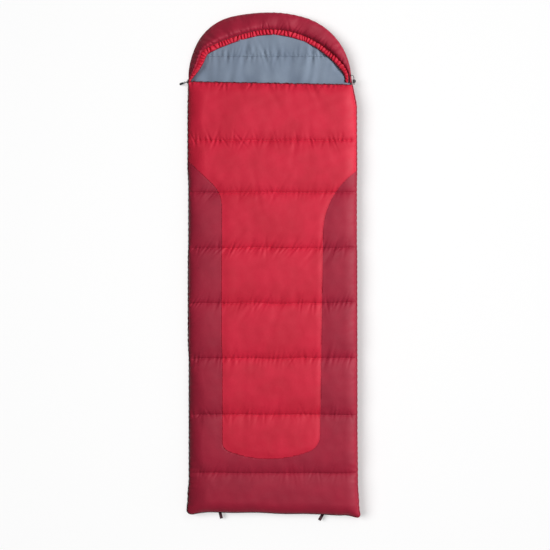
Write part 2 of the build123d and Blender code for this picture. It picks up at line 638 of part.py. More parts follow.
def zip_slider():
    """Slider body: two plates round the chain, a post between them and a bail outside."""
    y = slider_place()
    y0 = y - SLIDER_LENGTH / 2
    y1 = y + SLIDER_LENGTH / 2
    z0 = FOLD_Z - SLIDER_WIDTH / 2
    z1 = FOLD_Z + SLIDER_WIDTH / 2
    over_tape = 1.2 * CLEAR + CLEAR + TAPE
    flange = SLIDER_WIDTH / 2 - COIL_HEIGHT - 2 * CLEAR
    bite = CLEAR / 2                 # plates and their joining parts run into each other

    def out(o0, o1, ya, yb, za, zb):
        """A block between two distances from the bag's side wall."""
        return box(-SIDE_X - o1, -SIDE_X - o0, ya, yb, za, zb)

    def plate(o0):
        blank = out(o0, o0 + SLIDER_PLATE, y0, y1, z0, z1)
        return fillet(blank.edges().filter_by(Axis.X), SLIDER_CORNER_R)

    body = plate(-SLIDER_PLATE) + plate(SLIDER_FACE)
    side_y0 = y0 + SLIDER_CORNER_R
    side_y1 = y1 - SLIDER_CORNER_R
    body += out(over_tape, SLIDER_FACE + bite, side_y0, side_y1, z0, z0 + flange)
    body += out(over_tape, SLIDER_FACE + bite, side_y0, side_y1, z1 - flange, z1)
    post_z = FOLD_Z + CLEAR
    body += out(-bite, SLIDER_FACE + bite, y1 - POST_LENGTH, y1, post_z, post_z + POST_HEIGHT)
    bail_in = SLIDER_FACE + SLIDER_PLATE
    bail_z = (FOLD_Z - BAIL_WIDTH / 2, FOLD_Z + BAIL_WIDTH / 2)
    half = BAIL_LENGTH / 2
    block = out(bail_in, bail_in + BAIL_GAP + BAIL_BAR, y - half, y + half, *bail_z)
    room = half - BAIL_POST
    gap = out(bail_in, bail_in + BAIL_GAP, y - room, y + room, *bail_z)
    save("zip_slider", body + (block - gap))


def pull_frame():
    """Place of the pull's pin: local -X points along the pull before it droops."""
    pin_x = -SIDE_X - SLIDER_FACE - SLIDER_PLATE - BAIL_GAP / 2
    return Pos(pin_x, slider_place(), FOLD_Z) * Rot(0, 0, PULL_SWING)


def zip_pull():
    """Metal tab on the bail, and the cord loop with a moulded grip that hangs from it."""
    side = BAIL_WIDTH / 2 + 2.5 * CLEAR
    edge = side + PULL_ARM
    close = PULL_BIGHT + PULL_CORD_R + CLEAR
    end = close + PULL_END
    r = PULL_PIN_R
    tab = Cylinder(r, 2 * edge)
    tab += box(-end, 0, -r, r, side, edge)
    tab += box(-end, 0, -r, r, -edge, -side)
    tab += box(-end, -close, -r, r, -edge, edge)
    save("zip_pull_tab", pull_frame() * tab)

    hang = pull_frame() * Pos(-PULL_BIGHT, 0, 0) * Rot(0, -PULL_DROOP, 0)
    s = PULL_CORD_SPREAD
    loop = Wire([
        Line((-PULL_NECK, -s), (-s, -s)),
        ThreePointArc((-s, -s), (0, 0), (-s, s)),
        Line((-s, s), (-PULL_NECK, s)),
    ])
    section = Plane(loop @ 0, z_dir=loop % 0) * Circle(PULL_CORD_R)
    save("puller_cord", hang * sweep(section, path=loop))

    w = PULL_GRIP_WIDTH / 2
    neck_w = PULL_GRIP_TAPER * w
    near = -PULL_NECK
    end = near - PULL_GRIP
    shape = make_face([
        Line((near, -neck_w), (near, neck_w)),
        Line((near, neck_w), (end + w, w)),
        ThreePointArc((end + w, w), (end, 0), (end + w, -w)),
        Line((end + w, -w), (near, -neck_w)),
    ])
    grip = Pos(0, 0, -PULL_GRIP_THICK / 2) * extrude(shape, amount=PULL_GRIP_THICK)
    save("puller_grip", hang * grip)


# ---------------------------------------------------------------- drawcord end
def tail_points():
    """Route of the free drawcord: out of the eyelet, round, and down through the lock."""
    x0 = HOOD_CX + HOOD_HALF + CLEAR + EYELET_T
    x1 = x0 + TAIL_OUT
    x2 = x1 + TAIL_TURN
    return [(x0, CORD_EXIT_Y, CORD_Z), (x1, CORD_EXIT_Y, CORD_Z),
            (x2, CORD_EXIT_Y - TAIL_TURN, CORD_Z), (x2, LOCK_LOW_Y - TAIL_PAST, CORD_Z)]


def corner_radii(points, share=0.45):
    """The largest fair arc at each point: share of the shorter run over tan(half turn)."""
    radii = []
    for a, b, c in zip(points, points[1:], points[2:]):
        before = Vector(*b) - Vector(*a)
        after = Vector(*c) - Vector(*b)
        half_turn = math.radians(before.get_angle(after) / 2)
        radii.append(share * min(before.length, after.length) / math.tan(half_turn))
    return radii


def drawcord_end():
    """Free end of the drawcord with its knot, and the spring cord lock that rides on it."""
    points = tail_points()
    radii = corner_radii(points)
    route = FilletPolyline(*points, radius=radii)
    wire = Wire(route.edges())
    section = Plane(wire @ 0, z_dir=wire % 0) * Circle(CORD_R)
    tail = sweep(section, path=wire)
    print("drawcord tail: length", round(wire.length, 2), "radii", [round(r, 2) for r in radii],
          "volume", round(tail.volume, 1),
          "section times length", round(math.pi * CORD_R**2 * wire.length, 1))
    save("drawcord_tail", tail)
    x, y, z = points[-1]
    cord = Pos(x, y + KNOT_R, z) * Rot(90, 0, 0) * Cylinder(CORD_R, 2 * KNOT_R)
    save("drawcord_knot", Pos(x, y, z) * Sphere(KNOT_R) - cord)

    x0 = x - LOCK_WIDTH / 2
    x1 = x0 + LOCK_WIDTH
    y_mid = LOCK_LOW_Y + LOCK_LENGTH / 2
    half = LOCK_HEIGHT / 2
    body = box(x0, x1, LOCK_LOW_Y, LOCK_LOW_Y + LOCK_LENGTH, z - half, z + half)
    body = fillet(body.edges().filter_by(Axis.Y), LOCK_ROUND)
    long, high = LOCK_POCKET
    pocket = box(x0 + LOCK_WALL, x1 + LOCK_WIDTH, y_mid - long, y_mid + long, z - high, z + high)
    bore_r = CORD_R + LOCK_SLIDE
    bore = Pos(x, y_mid, z) * Rot(90, 0, 0) * Cylinder(bore_r, 2 * LOCK_LENGTH)
    save("cord_lock_body", body - pocket - bore)

    long -= LOCK_SLIDE
    high -= LOCK_SLIDE
    button = box(x0 + LOCK_WALL + LOCK_SPRING, x1 + BUTTON_OUT, y_mid - long, y_mid + long,
                 z - high, z + high)
    save("cord_lock_button", button - button_slot(x, y_mid, z))
    spring_r = high - 2 * CLEAR
    spring = Cylinder(spring_r, LOCK_SPRING - LOCK_SLIDE)
    spring -= Cylinder(spring_r - 2 * CLEAR, 2 * LOCK_SPRING)
    save("cord_lock_spring",
         Pos(x0 + LOCK_WALL + LOCK_SPRING / 2, y_mid, z) * Rot(0, 90, 0) * spring)


def button_slot(x, y_mid, z):
    """Hole across the button, long enough to let it slide in past the cord."""
    r = CORD_R + LOCK_SLIDE / 2
    far_x = x + BUTTON_PRESS + LOCK_SLIDE
    reach = LOCK_LENGTH
    slot = box(x, far_x, y_mid - reach, y_mid + reach, z - r, z + r)
    slot += Pos(x, y_mid, z) * Rot(90, 0, 0) * Cylinder(r, 2 * reach)
    slot += Pos(far_x, y_mid, z) * Rot(90, 0, 0) * Cylinder(r, 2 * reach)
    return slot


# ---------------------------------------------------------------- foot loops
def loop_place(side):
    """Frame of one hang loop: it swings about its local X, and its local -Y points out."""
    x, skew = LOOPS[side]
    slant = LOOP_WIDTH / 2 * abs(math.sin(math.radians(skew)))
    return Pos(x, FOOT_Y - TAB_OUT - CLEAR - LOOP_ROOT[0] - slant, LOOP_Z) * Rot(0, 0, skew)


def teardrop(root, radius, start):
    """Outline (y, z) of a folded strip: two straight runs between a small and a large round.

    The runs start 2 * root apart, round the point (start, 0).  The large round is at the
    loop's end and the runs are tangent to it.
    """
    centre = LOOP_BULGE_R - LOOP_LENGTH
    reach = start - centre
    lean = math.asin(radius / math.hypot(reach, root)) - math.atan2(root, reach)
    at = (centre + radius * math.sin(lean), radius * math.cos(lean))
    return [ThreePointArc((start, -root), (start + root, 0), (start, root)),
            Line((start, root), at),
            ThreePointArc(at, (centre - radius, 0), (at[0], -at[1])),
            Line((at[0], -at[1]), (start, -root))]


def hang_loops():
    """Two loops of folded webbing, each on a stitched tab under the foot zip."""
    root, gap_root = LOOP_ROOT
    outer = teardrop(root, LOOP_BULGE_R, 0)
    inner = teardrop(gap_root, LOOP_BULGE_R - LOOP_T, -LOOP_SEWN)
    band = extrude(Plane.YZ * make_face(outer), amount=LOOP_WIDTH / 2, both=True)
    band -= extrude(Plane.YZ * make_face(inner), amount=LOOP_WIDTH, both=True)
    tabs = Part()
    for side, (x, _) in LOOPS.items():
        save(f"hang_loop_{side}", loop_place(side) * band)
        tabs += box(x - TAB_WIDTH / 2, x + TAB_WIDTH / 2, FOOT_Y - TAB_OUT, FOOT_Y - TAB_IN,
                    LOOP_Z - TAB_HEIGHT / 2, LOOP_Z + TAB_HEIGHT / 2)
    save("hang_loop_tabs", tabs)


os.makedirs("parts", exist_ok=True)
quilted_base()
quilted_top()
padded_hood()
edge_trims()
zip_chain()
zip_slider()
zip_pull()
drawcord_end()
hang_loops()
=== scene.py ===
"""A hooded sleeping bag of two quilts, zipped up and lying empty on a white floor.

Shapes are worked out in millimetres: X to the right, Y from the foot to the hood, Z up.
"""

import bmesh
import bpy
import numpy as np
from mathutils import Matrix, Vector


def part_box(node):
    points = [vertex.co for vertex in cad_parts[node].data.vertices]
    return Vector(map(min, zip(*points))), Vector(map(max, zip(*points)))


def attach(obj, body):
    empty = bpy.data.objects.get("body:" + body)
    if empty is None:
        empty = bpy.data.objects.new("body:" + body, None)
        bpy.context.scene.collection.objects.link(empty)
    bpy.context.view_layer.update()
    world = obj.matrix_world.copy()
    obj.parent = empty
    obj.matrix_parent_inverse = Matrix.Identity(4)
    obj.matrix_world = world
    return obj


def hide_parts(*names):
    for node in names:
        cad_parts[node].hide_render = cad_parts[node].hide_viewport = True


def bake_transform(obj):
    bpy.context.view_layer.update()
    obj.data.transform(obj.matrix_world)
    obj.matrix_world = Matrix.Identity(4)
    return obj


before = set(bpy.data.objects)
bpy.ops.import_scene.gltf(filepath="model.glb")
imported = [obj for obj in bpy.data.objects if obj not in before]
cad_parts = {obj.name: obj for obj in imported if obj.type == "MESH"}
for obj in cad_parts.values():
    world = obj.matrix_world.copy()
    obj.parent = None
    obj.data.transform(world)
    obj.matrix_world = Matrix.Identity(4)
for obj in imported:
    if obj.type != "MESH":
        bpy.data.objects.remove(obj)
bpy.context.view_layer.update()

# ---------------- shell cloth
# Polyester taffeta: a smooth, tight plain weave of fine filament yarn, dyed and calendered.
# It has a faint sheen along its folds, and soft creases all over.
BRIGHT_RED, BRIGHT_SHADE = "C41033", "B90C2D"
DARK_RED, DARK_SHADE = "9A0C2E", "900A2B"
# The third grey is painted shadow between the lining's threads.
LINING_GREY, LINING_SHADE, LINING_WEAVE_SHADOW = "758293", "697688", "4A5566"
# The trim's maroon is also painted as shadow between the threads of the other cloths.
TRIM_RED, TRIM_SHADE = "5E0A20", "4C081B"


def linear(hex_colour):
    """An sRGB hex colour as the linear colour that a shader takes."""
    c = np.array([int(hex_colour[i:i + 2], 16) for i in (0, 2, 4)]) / 255
    c = np.where(c <= 0.04045, c / 12.92, ((c + 0.055) / 1.055) ** 2.4)
    return (*c.tolist(), 1.0)


def node(material, kind, inputs=None, **settings):
    """Add one node: settings are its properties, inputs its values or the sockets it reads."""
    made = material.node_tree.nodes.new("ShaderNode" + kind)
    for name, value in settings.items():
        setattr(made, name, value)
    for name, value in (inputs or {}).items():
        if isinstance(value, bpy.types.NodeSocket):
            material.node_tree.links.new(value, made.inputs[name])
        else:
            made.inputs[name].default_value = value
    return made


def new_material(name):
    """A material with no nodes."""
    material = bpy.data.materials.new(name)
    material.use_nodes = True
    material.node_tree.nodes.clear()
    return material


def noise(m, at, scale, detail, **more):
    """A noise texture of about scale cells to the metre."""
    return node(m, "TexNoise", {"Vector": at, "Scale": scale, "Detail": detail,
                                **more}).outputs["Fac"]


def bands(m, at, scale, direction="X", **more):
    """Parallel bands across one direction, 20 scale / 2 pi of them to the metre."""
    return node(m, "TexWave", {"Vector": at, "Scale": scale, **more},
                bands_direction=direction).outputs["Fac"]


def combined(m, operation, a, b):
    """Two values in one operation."""
    return node(m, "Math", {0: a, 1: b}, operation=operation).outputs[0]


def spread(m, value, low, high, **more):
    """A value of 0 to 1 taken to the range from low to high."""
    return node(m, "MapRange", {"Value": value, "To Min": low, "To Max": high,
                                **more}).outputs["Result"]


def mixed(m, factor, *colours):
    """Two colours, each as hex or as a socket, mixed by the factor."""
    a, b = (c if isinstance(c, bpy.types.NodeSocket) else linear(c) for c in colours)
    return node(m, "Mix", {"Factor": factor, "A": a, "B": b}, data_type="RGBA").outputs[2]


def bump(m, height, strength, distance, **more):
    """A normal, tilted by a height."""
    return node(m, "Bump", {"Height": height, "Strength": strength, "Distance": distance,
                            **more}).outputs["Normal"]


def surface(m, kind, inputs):
    """Make a shader of these inputs the material's surface."""
    node(m, "OutputMaterial", {"Surface": node(m, kind, inputs).outputs[0]})
    return m


def cloth(name, colour, shade, thread_mm, roughness=0.64, sheen=0.05, crease=0.16):
    """Woven cloth on object coordinates: warp and weft as crossed bands, with soft creases."""
    m = new_material(name)
    at = node(m, "TexCoord").outputs["Object"]
    threads = 2 * np.pi / (20 * thread_mm / 1000)
    warp, weft = (bands(m, at, threads, axis, Distortion=0.6, Detail=1.0) for axis in "XY")
    weave = combined(m, "MULTIPLY", warp, weft)
    patches = spread(m, noise(m, at, 9.0, 3.0), 0.0, 1.0, **{"From Min": 0.35, "From Max": 0.65})
    # Along the weave the colour is mixed a tenth of the way to a second one, a deeper grey for the
    # lining and the trim's maroon for the rest: painted shadow between the threads.
    deep = LINING_WEAVE_SHADOW if colour == LINING_GREY else TRIM_RED
    tone_and_weave_shadow = mixed(m, combined(m, "MULTIPLY", weave, 0.1), mixed(m, patches, colour, shade), deep)
    creases = noise(m, at, 34.0, 4.0, Roughness=0.55)
    soft = bump(m, creases, crease, 0.004)
    return surface(m, "BsdfPrincipled", {
        "Base Color": tone_and_weave_shadow, "Roughness": spread(m, creases, roughness - 0.06, roughness + 0.08),
        "Sheen Weight": sheen, "Sheen Roughness": 0.4, "Sheen Tint": (1.0, 0.86, 0.88, 1.0),
        "IOR": 1.43, "Normal": bump(m, weave, 0.16, 0.0002, Normal=soft)})


# Real threads are about 0.2 mm apart.  They are drawn 1.2 mm apart, so that they show.
THREAD = 1.2
bright_taffeta = cloth("taffeta_bright_red", BRIGHT_RED, BRIGHT_SHADE, THREAD)
dark_taffeta = cloth("taffeta_dark_red", DARK_RED, DARK_SHADE, THREAD)
lining_cloth = cloth("brushed_polyester_grey", LINING_GREY, LINING_SHADE, THREAD,
                     roughness=0.75, sheen=0.1, crease=0.2)

# ---------------- plan of the bag
# The two quilts share one outline: straight sides, a square foot with rounded corners, and
# the arch of the hood.  The quilting seams run straight across, foot to top edge.
SIDE = 366.0
FOOT = -1094.0
TOP = 786.0
SHOULDER = 690.0
SEAMS = np.array([-1094.0, -914.0, -660.0, -414.0, -174.0, 66.0, 308.0, 535.0, 786.0])
HOOD_X, HOOD_Y = -12.0, 800.5
HOOD_HALF, HOOD_RISE = 354.0, 294.0
FACE_HALF, FACE_RISE = 328.0, 198.0
HEAD_SEAM = 909.0
FOLD_Z = 39.0
CORNER_LEFT, CORNER_RIGHT = 30.0, 14.0


def arc(cx, cy, radius, start, end, step=2.0):
    """Points on a circle, x = cx + r cos a and y = cy + r sin a, with a in degrees."""
    count = max(3, int(radius * abs(np.radians(end - start)) / step))
    a = np.radians(np.linspace(start, end, count))
    return np.stack([cx + radius * np.cos(a), cy + radius * np.sin(a)], -1)


def half_arch(half, rise, radii, grow):
    """One half of an arch as points from its upright foot to its level crown.

    One radius gives a side arc and the crown arc that closes it.  Three give a side, a
    shoulder and a crown arc, whose centres lie apart by the differences of the radii.
    """
    side = radii[0]
    if len(radii) == 1:
        reach = half - side
        crown = (reach**2 + rise**2 - side**2) / (2 * (rise - side))
        meet = np.degrees(np.arctan2(crown - rise, reach))
        parts = [(reach, 0, side, 0, meet), (0, rise - crown, crown, meet, 90)]
    else:
        shoulder, crown = radii[1:]
        a, b = side - shoulder, crown - shoulder
        gap = np.hypot(side - half, rise - crown)
        low = np.arctan2(rise - crown, side - half) + np.arccos(
            (a**2 + gap**2 - b**2) / (2 * gap * a))
        x, y = half - side + a * np.cos(low), a * np.sin(low)
        high = np.degrees(np.arctan2(y - rise + crown, x))
        low = np.degrees(low)
        parts = [(half - side, 0, side, 0, low), (x, y, shoulder, low, high),
                 (0, rise - crown, crown, high, 90)]
    return np.concatenate([arc(x, y, r + grow, s, e) for x, y, r, s, e in parts])


def arch(half, rise, right_radii, left_radii, grow):
    """A whole arch over the hood's middle, right foot over the crown to left foot."""
    right = half_arch(half, rise, right_radii, grow)
    left = half_arch(half, rise, left_radii, grow)[::-1] * (-1, 1)
    line = np.concatenate([right, left[1:]]) + (HOOD_X, HOOD_Y)
    keep = np.concatenate([[True], np.hypot(*np.diff(line, axis=0).T) > 1e-6])
    return line[keep]


LEG_END = 11.0


def hood_line(grow):
    """The hood's outer edge, let out by grow."""
    return arch(HOOD_HALF, HOOD_RISE, (284.0,), (353.0, 228.0, 759.0), grow)


def face_line(grow):
    """The face opening, whose left leg leans in, and whose legs run on down to the quilt."""
    line = arch(FACE_HALF, FACE_RISE, (60.0,), (146.0,), grow)
    leg = np.clip((line[:, 1] - HOOD_Y) / 125, 0, 1)
    crown = np.clip((HOOD_X - line[:, 0]) / FACE_HALF, 0, 1)
    line[:, 0] += np.where(line[:, 0] < HOOD_X, 21 * np.sin(np.pi * leg) - 5 * (1 - leg), 0)
    line[:, 1] -= 8 * np.sin(np.pi * crown) ** 2
    down = np.linspace(LEG_END, 0, 8)[:-1, None]
    return np.concatenate([line[0] - down * (0, 1), line, line[-1] - down[::-1] * (0, 1)])


def run_of(line):
    """The distance along a line at each of its points."""
    return np.r_[0, np.cumsum(np.hypot(*np.diff(line, axis=0).T))]


def resampled(line, measure, count):
    """Points of a line at evenly spaced values of a measure that grows along it."""
    at = np.linspace(measure[0], measure[-1], count)
    return np.stack([np.interp(at, measure, line[:, 0]), np.interp(at, measure, line[:, 1])], -1)


def spaced(line, step):
    """The same line with its points step apart."""
    run = run_of(line)
    return resampled(line, run, max(2, int(run[-1] / step)))


def directions(line):
    """Unit vectors along a line, and to the right of it."""
    t = np.gradient(line, axis=0)
    t /= np.hypot(*t.T)[:, None]
    return t, np.stack([t[:, 1], -t[:, 0]], -1)


def edge_x(y, side, inset=0.0):
    """X of the bag's left (-1) or right (1) edge at each y, drawn in by inset."""
    corner = (CORNER_LEFT if side < 0 else CORNER_RIGHT) - inset
    x = np.full(np.shape(y), SIDE - inset)
    up = np.clip(y - FOOT - inset, 0, corner)
    x = x - corner + np.sqrt(np.maximum(corner**2 - (corner - up) ** 2, 0))
    if side > 0:
        x = x - 24.0 * np.clip((y - SHOULDER) / (HOOD_Y - SHOULDER), 0, 1)
    line = hood_line(-inset)
    crown = int(np.argmax(line[:, 1]))
    half = line[:crown + 1] if side > 0 else line[crown:][::-1]
    on_hood = np.interp(y, half[:, 1], half[:, 0])
    return np.where(y > HOOD_Y, on_hood, side * x)


def smooth(t):
    """Eased step from 0 to 1: 3 t^2 - 2 t^3."""
    t = np.clip(t, 0, 1)
    return t * t * (3 - 2 * t)


def through(at, knots, values):
    """A smooth line through values at the knots, level at each of them."""
    total = np.full(np.shape(at), float(values[0]))
    for a, b, v, w in zip(knots, knots[1:], values, values[1:]):
        total += (w - v) * smooth((at - a) / (b - a))
    return total


def ripple(x, y, wavelength, seed, waves=9):
    """Soft unevenness, about -1 to 1: a sum of waves in random directions and phases."""
    rng = np.random.default_rng(seed)
    total = np.zeros(np.broadcast(x, y).shape)
    for _ in range(waves):
        turn, phase = rng.uniform(0, 2 * np.pi, 2)
        k = 2 * np.pi / (wavelength * rng.uniform(0.7, 1.5))
        total += np.sin(k * (x * np.cos(turn) + y * np.sin(turn)) + phase)
    return total / np.sqrt(waves) * 0.9


def gathers(along, away, start, stop, spacing, depth, width, reach, lean, seed):
    """Height of the small tucks that a line of stitching draws into cloth.

    Across, each tuck is a valley between two ridges, (1 - q^2) exp(-q^2 / 2).  It leans
    from the line and fades away from it, by its own random lengths on the two sides.
    """
    rng = np.random.default_rng(seed)
    total = np.zeros(np.broadcast(along, away).shape)
    for k in range(int((stop - start) / spacing)):
        at = start + (k + rng.uniform(0.1, 0.9)) * spacing
        deep = depth * rng.uniform(0.3, 1.3)
        wide = width * rng.uniform(0.75, 1.3)
        above, below = reach * rng.uniform(0.35, 1.6, 2)
        slant = lean + rng.normal(0, 0.28)
        q = (along - at - slant * away) / wide
        far = np.abs(away) / np.where(away > 0, above, below)
        total -= deep * (1 - q * q) * np.exp(-q * q / 2 - far**1.5)
    return total


def seam_tucks(x, y, seams, half, sizes, seed):
    """Tucks along seams that run across the bag, from -half to half."""
    return sum(gathers(x, y - s, -half, half, *sizes, seed + k) for k, s in enumerate(seams))


def lie(p):
    """How the soft bag comes to lie: its sides wander, and its foot is skewed and flared."""
    x, y = p[:, 0], p[:, 1]
    left = through(y, (-1094, -1010, -940, -430, -330, 10, 90, 330, 430, 660, 775),
                   (-5, -1, 4, 4, 0, 0, 2, 2, -2, -2, 0))
    right = through(y, (-1094, -1040, -960, -700, 30, 90, 330, 420, 660, 775),
                    (10, 8, 3, 1, 0, -1.5, -1.5, 0, -1, 0))
    share = np.clip((x + SIDE) / (2 * SIDE), 0, 1)
    foot = through(x, (-366, -270, -140, 212, 300, 372), (2, 9, 9, 0, -4, -14))
    near_side = smooth((np.abs(x) - 345) / 20) * smooth((775 - y) / 60)
    bead = 1.1 * np.sin(2 * np.pi * y / 24 + 1.5 * np.sin(y / 61)) * near_side
    bead = bead * np.where(x < 0, 0.6, 0.45)
    corner = np.exp(-(((np.abs(x) - SIDE) / 26) ** 2) - ((y - FOOT) / 26) ** 2)
    moved = p.copy()
    moved[:, 0] += 5.0 * corner * np.sign(x)
    moved[:, 1] -= 5.0 * corner
    moved[:, 0] += left * (1 - share) + right * share + bead * np.sign(x)
    moved[:, 1] += foot * smooth((-914 - y) / 180)
    moved[:, 1] += 2.2 * ripple(x, y * 0.3, 240, 5, 6) * smooth((700 - y) / 80)
    return moved


# ---------------- making meshes
def grid_faces(rows, cols, rows_close=False, cols_close=False):
    """Quads of points stored row by row, facing the side from which rows run up, columns right."""
    i = np.arange(rows if rows_close else rows - 1)[:, None]
    j = np.arange(cols if cols_close else cols - 1)[None, :]
    up, on = (i + 1) % rows, (j + 1) % cols
    quads = np.stack([i * cols + j, i * cols + on, up * cols + on, up * cols + j], -1)
    return quads.reshape(-1, 4)


def placed(name, data):
    """A new object with this data, linked to the scene."""
    made = bpy.data.objects.new(name, data)
    bpy.context.scene.collection.objects.link(made)
    return made


def piece(name, points, faces, material, body, replaced=(), closed=False, thick=0.0,
          uv=None):
    """A mesh object at the origin from points in mm, tidied, and tied to its CAD body.

    Doubled points are merged and loose ones removed.  A closed piece has its holes filled
    and its normals turned outwards; thick gives a sheet its cloth's thickness, inwards.
    """
    mesh = bpy.data.meshes.new(name)
    mesh.vertices.add(len(points))
    mesh.vertices.foreach_set("co", (points * 0.001).astype(np.float32).ravel())
    mesh.loops.add(faces.size)
    mesh.loops.foreach_set("vertex_index", faces.astype(np.int32).ravel())
    mesh.polygons.add(len(faces))
    mesh.polygons.foreach_set("loop_start", np.arange(0, faces.size, 4, dtype=np.int32))
    mesh.update(calc_edges=True)
    if uv is not None:
        mesh.uv_layers.new(name="metres").data.foreach_set(
            "uv", (uv[faces.ravel()] * 0.001).astype(np.float32).ravel())
    work = bmesh.new()
    work.from_mesh(mesh)
    bmesh.ops.remove_doubles(work, verts=work.verts, dist=2e-6)
    bmesh.ops.delete(work, geom=[v for v in work.verts if not v.link_faces], context="VERTS")
    if closed:
        rim = [e for e in work.edges if e.is_boundary]
        if rim:
            bmesh.ops.holes_fill(work, edges=rim, sides=0)
        bmesh.ops.recalc_face_normals(work, faces=work.faces)
    work.to_mesh(mesh)
    work.free()
    mesh.polygons.foreach_set("use_smooth", np.ones(len(mesh.polygons), dtype=bool))
    mesh.materials.append(material)
    made = placed(name, mesh)
    if thick:
        shell = made.modifiers.new("cloth", "SOLIDIFY")
        shell.thickness = thick * 0.001
        shell.offset = -1
    if body:
        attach(made, body)
    if replaced:
        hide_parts(*replaced)
    return made


def rows_between(stops, count, crowding=0.6):
    """Rows from stop to stop, crowded towards each stop, where the cloth bends most."""
    t = np.linspace(0, 1, count + 1)[:-1]
    t = crowding * (1 - np.cos(np.pi * t)) / 2 + (1 - crowding) * t
    rows = [a + (b - a) * t for a, b in zip(stops, stops[1:])]
    return np.concatenate(rows + [np.array([stops[-1]])])


def face_and_walls(ys, columns, walls, inset=0.0):
    """A grid over the bag's plan that runs on past every edge, down its walls.

    Returns x, y, the level (0 on the face, 1 at the end of the wall) and the quads.  The
    corner blocks, where a wall would meet a wall, are left out.
    """
    i = np.arange(-walls, len(ys) + walls)
    j = np.arange(-walls, columns + walls)
    row = ys[np.clip(i, 0, len(ys) - 1)][:, None]
    share = (np.clip(j, 0, columns - 1) / (columns - 1))[None, :]
    share = share - 0.035 * np.sin(2 * np.pi * share)
    x = edge_x(row, -1, inset) * (1 - share) + edge_x(row, 1, inset) * share
    past_i = np.maximum(0, np.maximum(-i, i - len(ys) + 1))[:, None]
    past_j = np.maximum(0, np.maximum(-j, j - columns + 1))[None, :]
    level = np.maximum(past_i, past_j) / max(walls, 1)
    quads = grid_faces(len(i), len(j)).reshape(len(i) - 1, len(j) - 1, 4)
    cell_i = (np.arange(len(i) - 1) < walls) | (np.arange(len(i) - 1) >= len(ys) - 1 + walls)
    cell_j = (np.arange(len(j) - 1) < walls) | (np.arange(len(j) - 1) >= columns - 1 + walls)
    keep = ~(cell_i[:, None] & cell_j[None, :])
    return x, row + 0 * x, level, quads[keep]


def channel(y, stops):
    """0 on each seam, 1 along the middle of each channel, steep beside the seams."""
    i = np.clip(np.searchsorted(stops, y, side="right") - 1, 0, len(stops) - 2)
    t = np.clip((y - stops[i]) / (stops[i + 1] - stops[i]), 0, 1)
    return (1 - np.abs(2 * t - 1) ** 2.6) ** 0.62


def rolled(distance, width, power=2.3):
    """A rolled edge: 0 at the edge, 1 from width inwards, upright at the edge."""
    t = np.clip(distance / width, 0, 1)
    return (1 - (1 - t) ** power) ** (1 / power)


# ---------------- base quilt, shell
# The bag's back: dark taffeta over polyester fibre, quilted through in straight channels.
# It lies on the ground, its lower edges rolled up into the side walls.
BASE_TOP, ROLL_HIGH, ROLL_WIDE = 32.0, 14, 40
base_rows = rows_between([FOOT, *SEAMS[1:], HEAD_SEAM, HOOD_Y + HOOD_RISE - 0.5], 36)
x, y, level, quads = face_and_walls(base_rows, 72, 4)
sole_stops = np.array([FOOT - 90, *SEAMS[1:], HEAD_SEAM, HOOD_Y + HOOD_RISE + 60])


def to_outline(x, y, inset=0.0):
    """Distance from the bag's edge: across it below the hood, the shortest one in the hood."""
    away = np.minimum(x - edge_x(y, -1, inset), edge_x(y, 1, inset) - x)
    in_hood = y > HOOD_Y
    arch_points = hood_line(-inset)[::3]
    away[in_hood] = np.min(np.hypot(x[in_hood][:, None] - arch_points[:, 0],
                                    y[in_hood][:, None] - arch_points[:, 1]), 1)
    return away


to_side = to_outline(x, y)
z = (ROLL_HIGH * (1 - rolled(to_side, ROLL_WIDE))
     + 6 * (1 - channel(y, sole_stops)) * rolled(to_side, ROLL_WIDE))
z = np.maximum(z, ROLL_HIGH * (1 - rolled(y - FOOT, ROLL_WIDE)))
pull = seam_tucks(x, y, [*SEAMS[1:-1], HEAD_SEAM], 360, (26, 1.6, 7, 28, 0.2), 30)
z = np.where(level > 0, ROLL_HIGH + (BASE_TOP + 0.6 - ROLL_HIGH) * level,
             np.maximum(z - pull * 0.8, 0))
out = (0.25 + 1.35 * smooth((y - HOOD_Y) / 40)) * np.sin(np.pi * level)
from_x = np.where(np.abs(x - HOOD_X) > 1, np.sign(x - HOOD_X), 0)
points = np.stack([x + out * from_x, y, z], -1).reshape(-1, 3)
base_shell = piece("base_quilt_shell", lie(points), quads[:, ::-1], dark_taffeta, "base_quilt",
                   ("bottom_shell", "bottom_insulation"), thick=0.8)

# ---------------- base quilt, lining
# Brushed grey polyester, quilted in the same channels.  Above the top edge it carries on as
# the head lining, sewn on with a gathered seam.
LINING_LOW = BASE_TOP + 0.4


def base_lining_height(x, y):
    """Level cloth, swollen between the seams, with tucks at each seam and soft folds."""
    to_side = to_outline(x, y, 2)
    stops = np.array([FOOT, *SEAMS[1:-1], TOP - 40, HEAD_SEAM, HOOD_Y + HOOD_RISE + 40])
    clear = smooth((to_side - 45 * smooth((y - 800) / 60)) / 30)
    swell = channel(y, stops) * rolled(to_side, 60) * clear
    head = smooth((y - 740) / 60)
    z = LINING_LOW + swell * (2.6 + 9.0 * head)
    z += head * clear * 1.8 * ripple(x, y * 0.25, 110, 14)
    z += clear * gathers(x, y - HEAD_SEAM, -330, 300, 17, 2.6, 5.5, 20, 0.0, 41)
    z += clear * gathers(x, y - HEAD_SEAM, -330, 300, 55, 4.2, 12, 42, 0.1, 43)
    z += head * clear * gathers(x, y - (TOP - 10), -340, 320, 85, 2.2, 18, 80, 0.05, 42)
    z += (1 - head) * seam_tucks(x, y, SEAMS[1:-1], 350, (28, 0.8, 7, 22, 0.2), 50)
    return np.maximum(z, LINING_LOW - 0.2)


def lining_part(name, stops, rows, node_name, lap=0.0):
    """One part of the base's lining, as a thin sheet; at the head seam it dips by the lap."""
    ys = rows_between(stops, rows, 0.45)
    x, y, _, quads = face_and_walls(ys, 150, 0, 2.0)
    z = base_lining_height(x, y) - lap * smooth((y - HEAD_SEAM + 5) / 4)
    points = np.stack([x, y, z], -1).reshape(-1, 3)
    return piece(name, lie(points), quads, lining_cloth, "base_quilt", (node_name,),
                 thick=0.7)


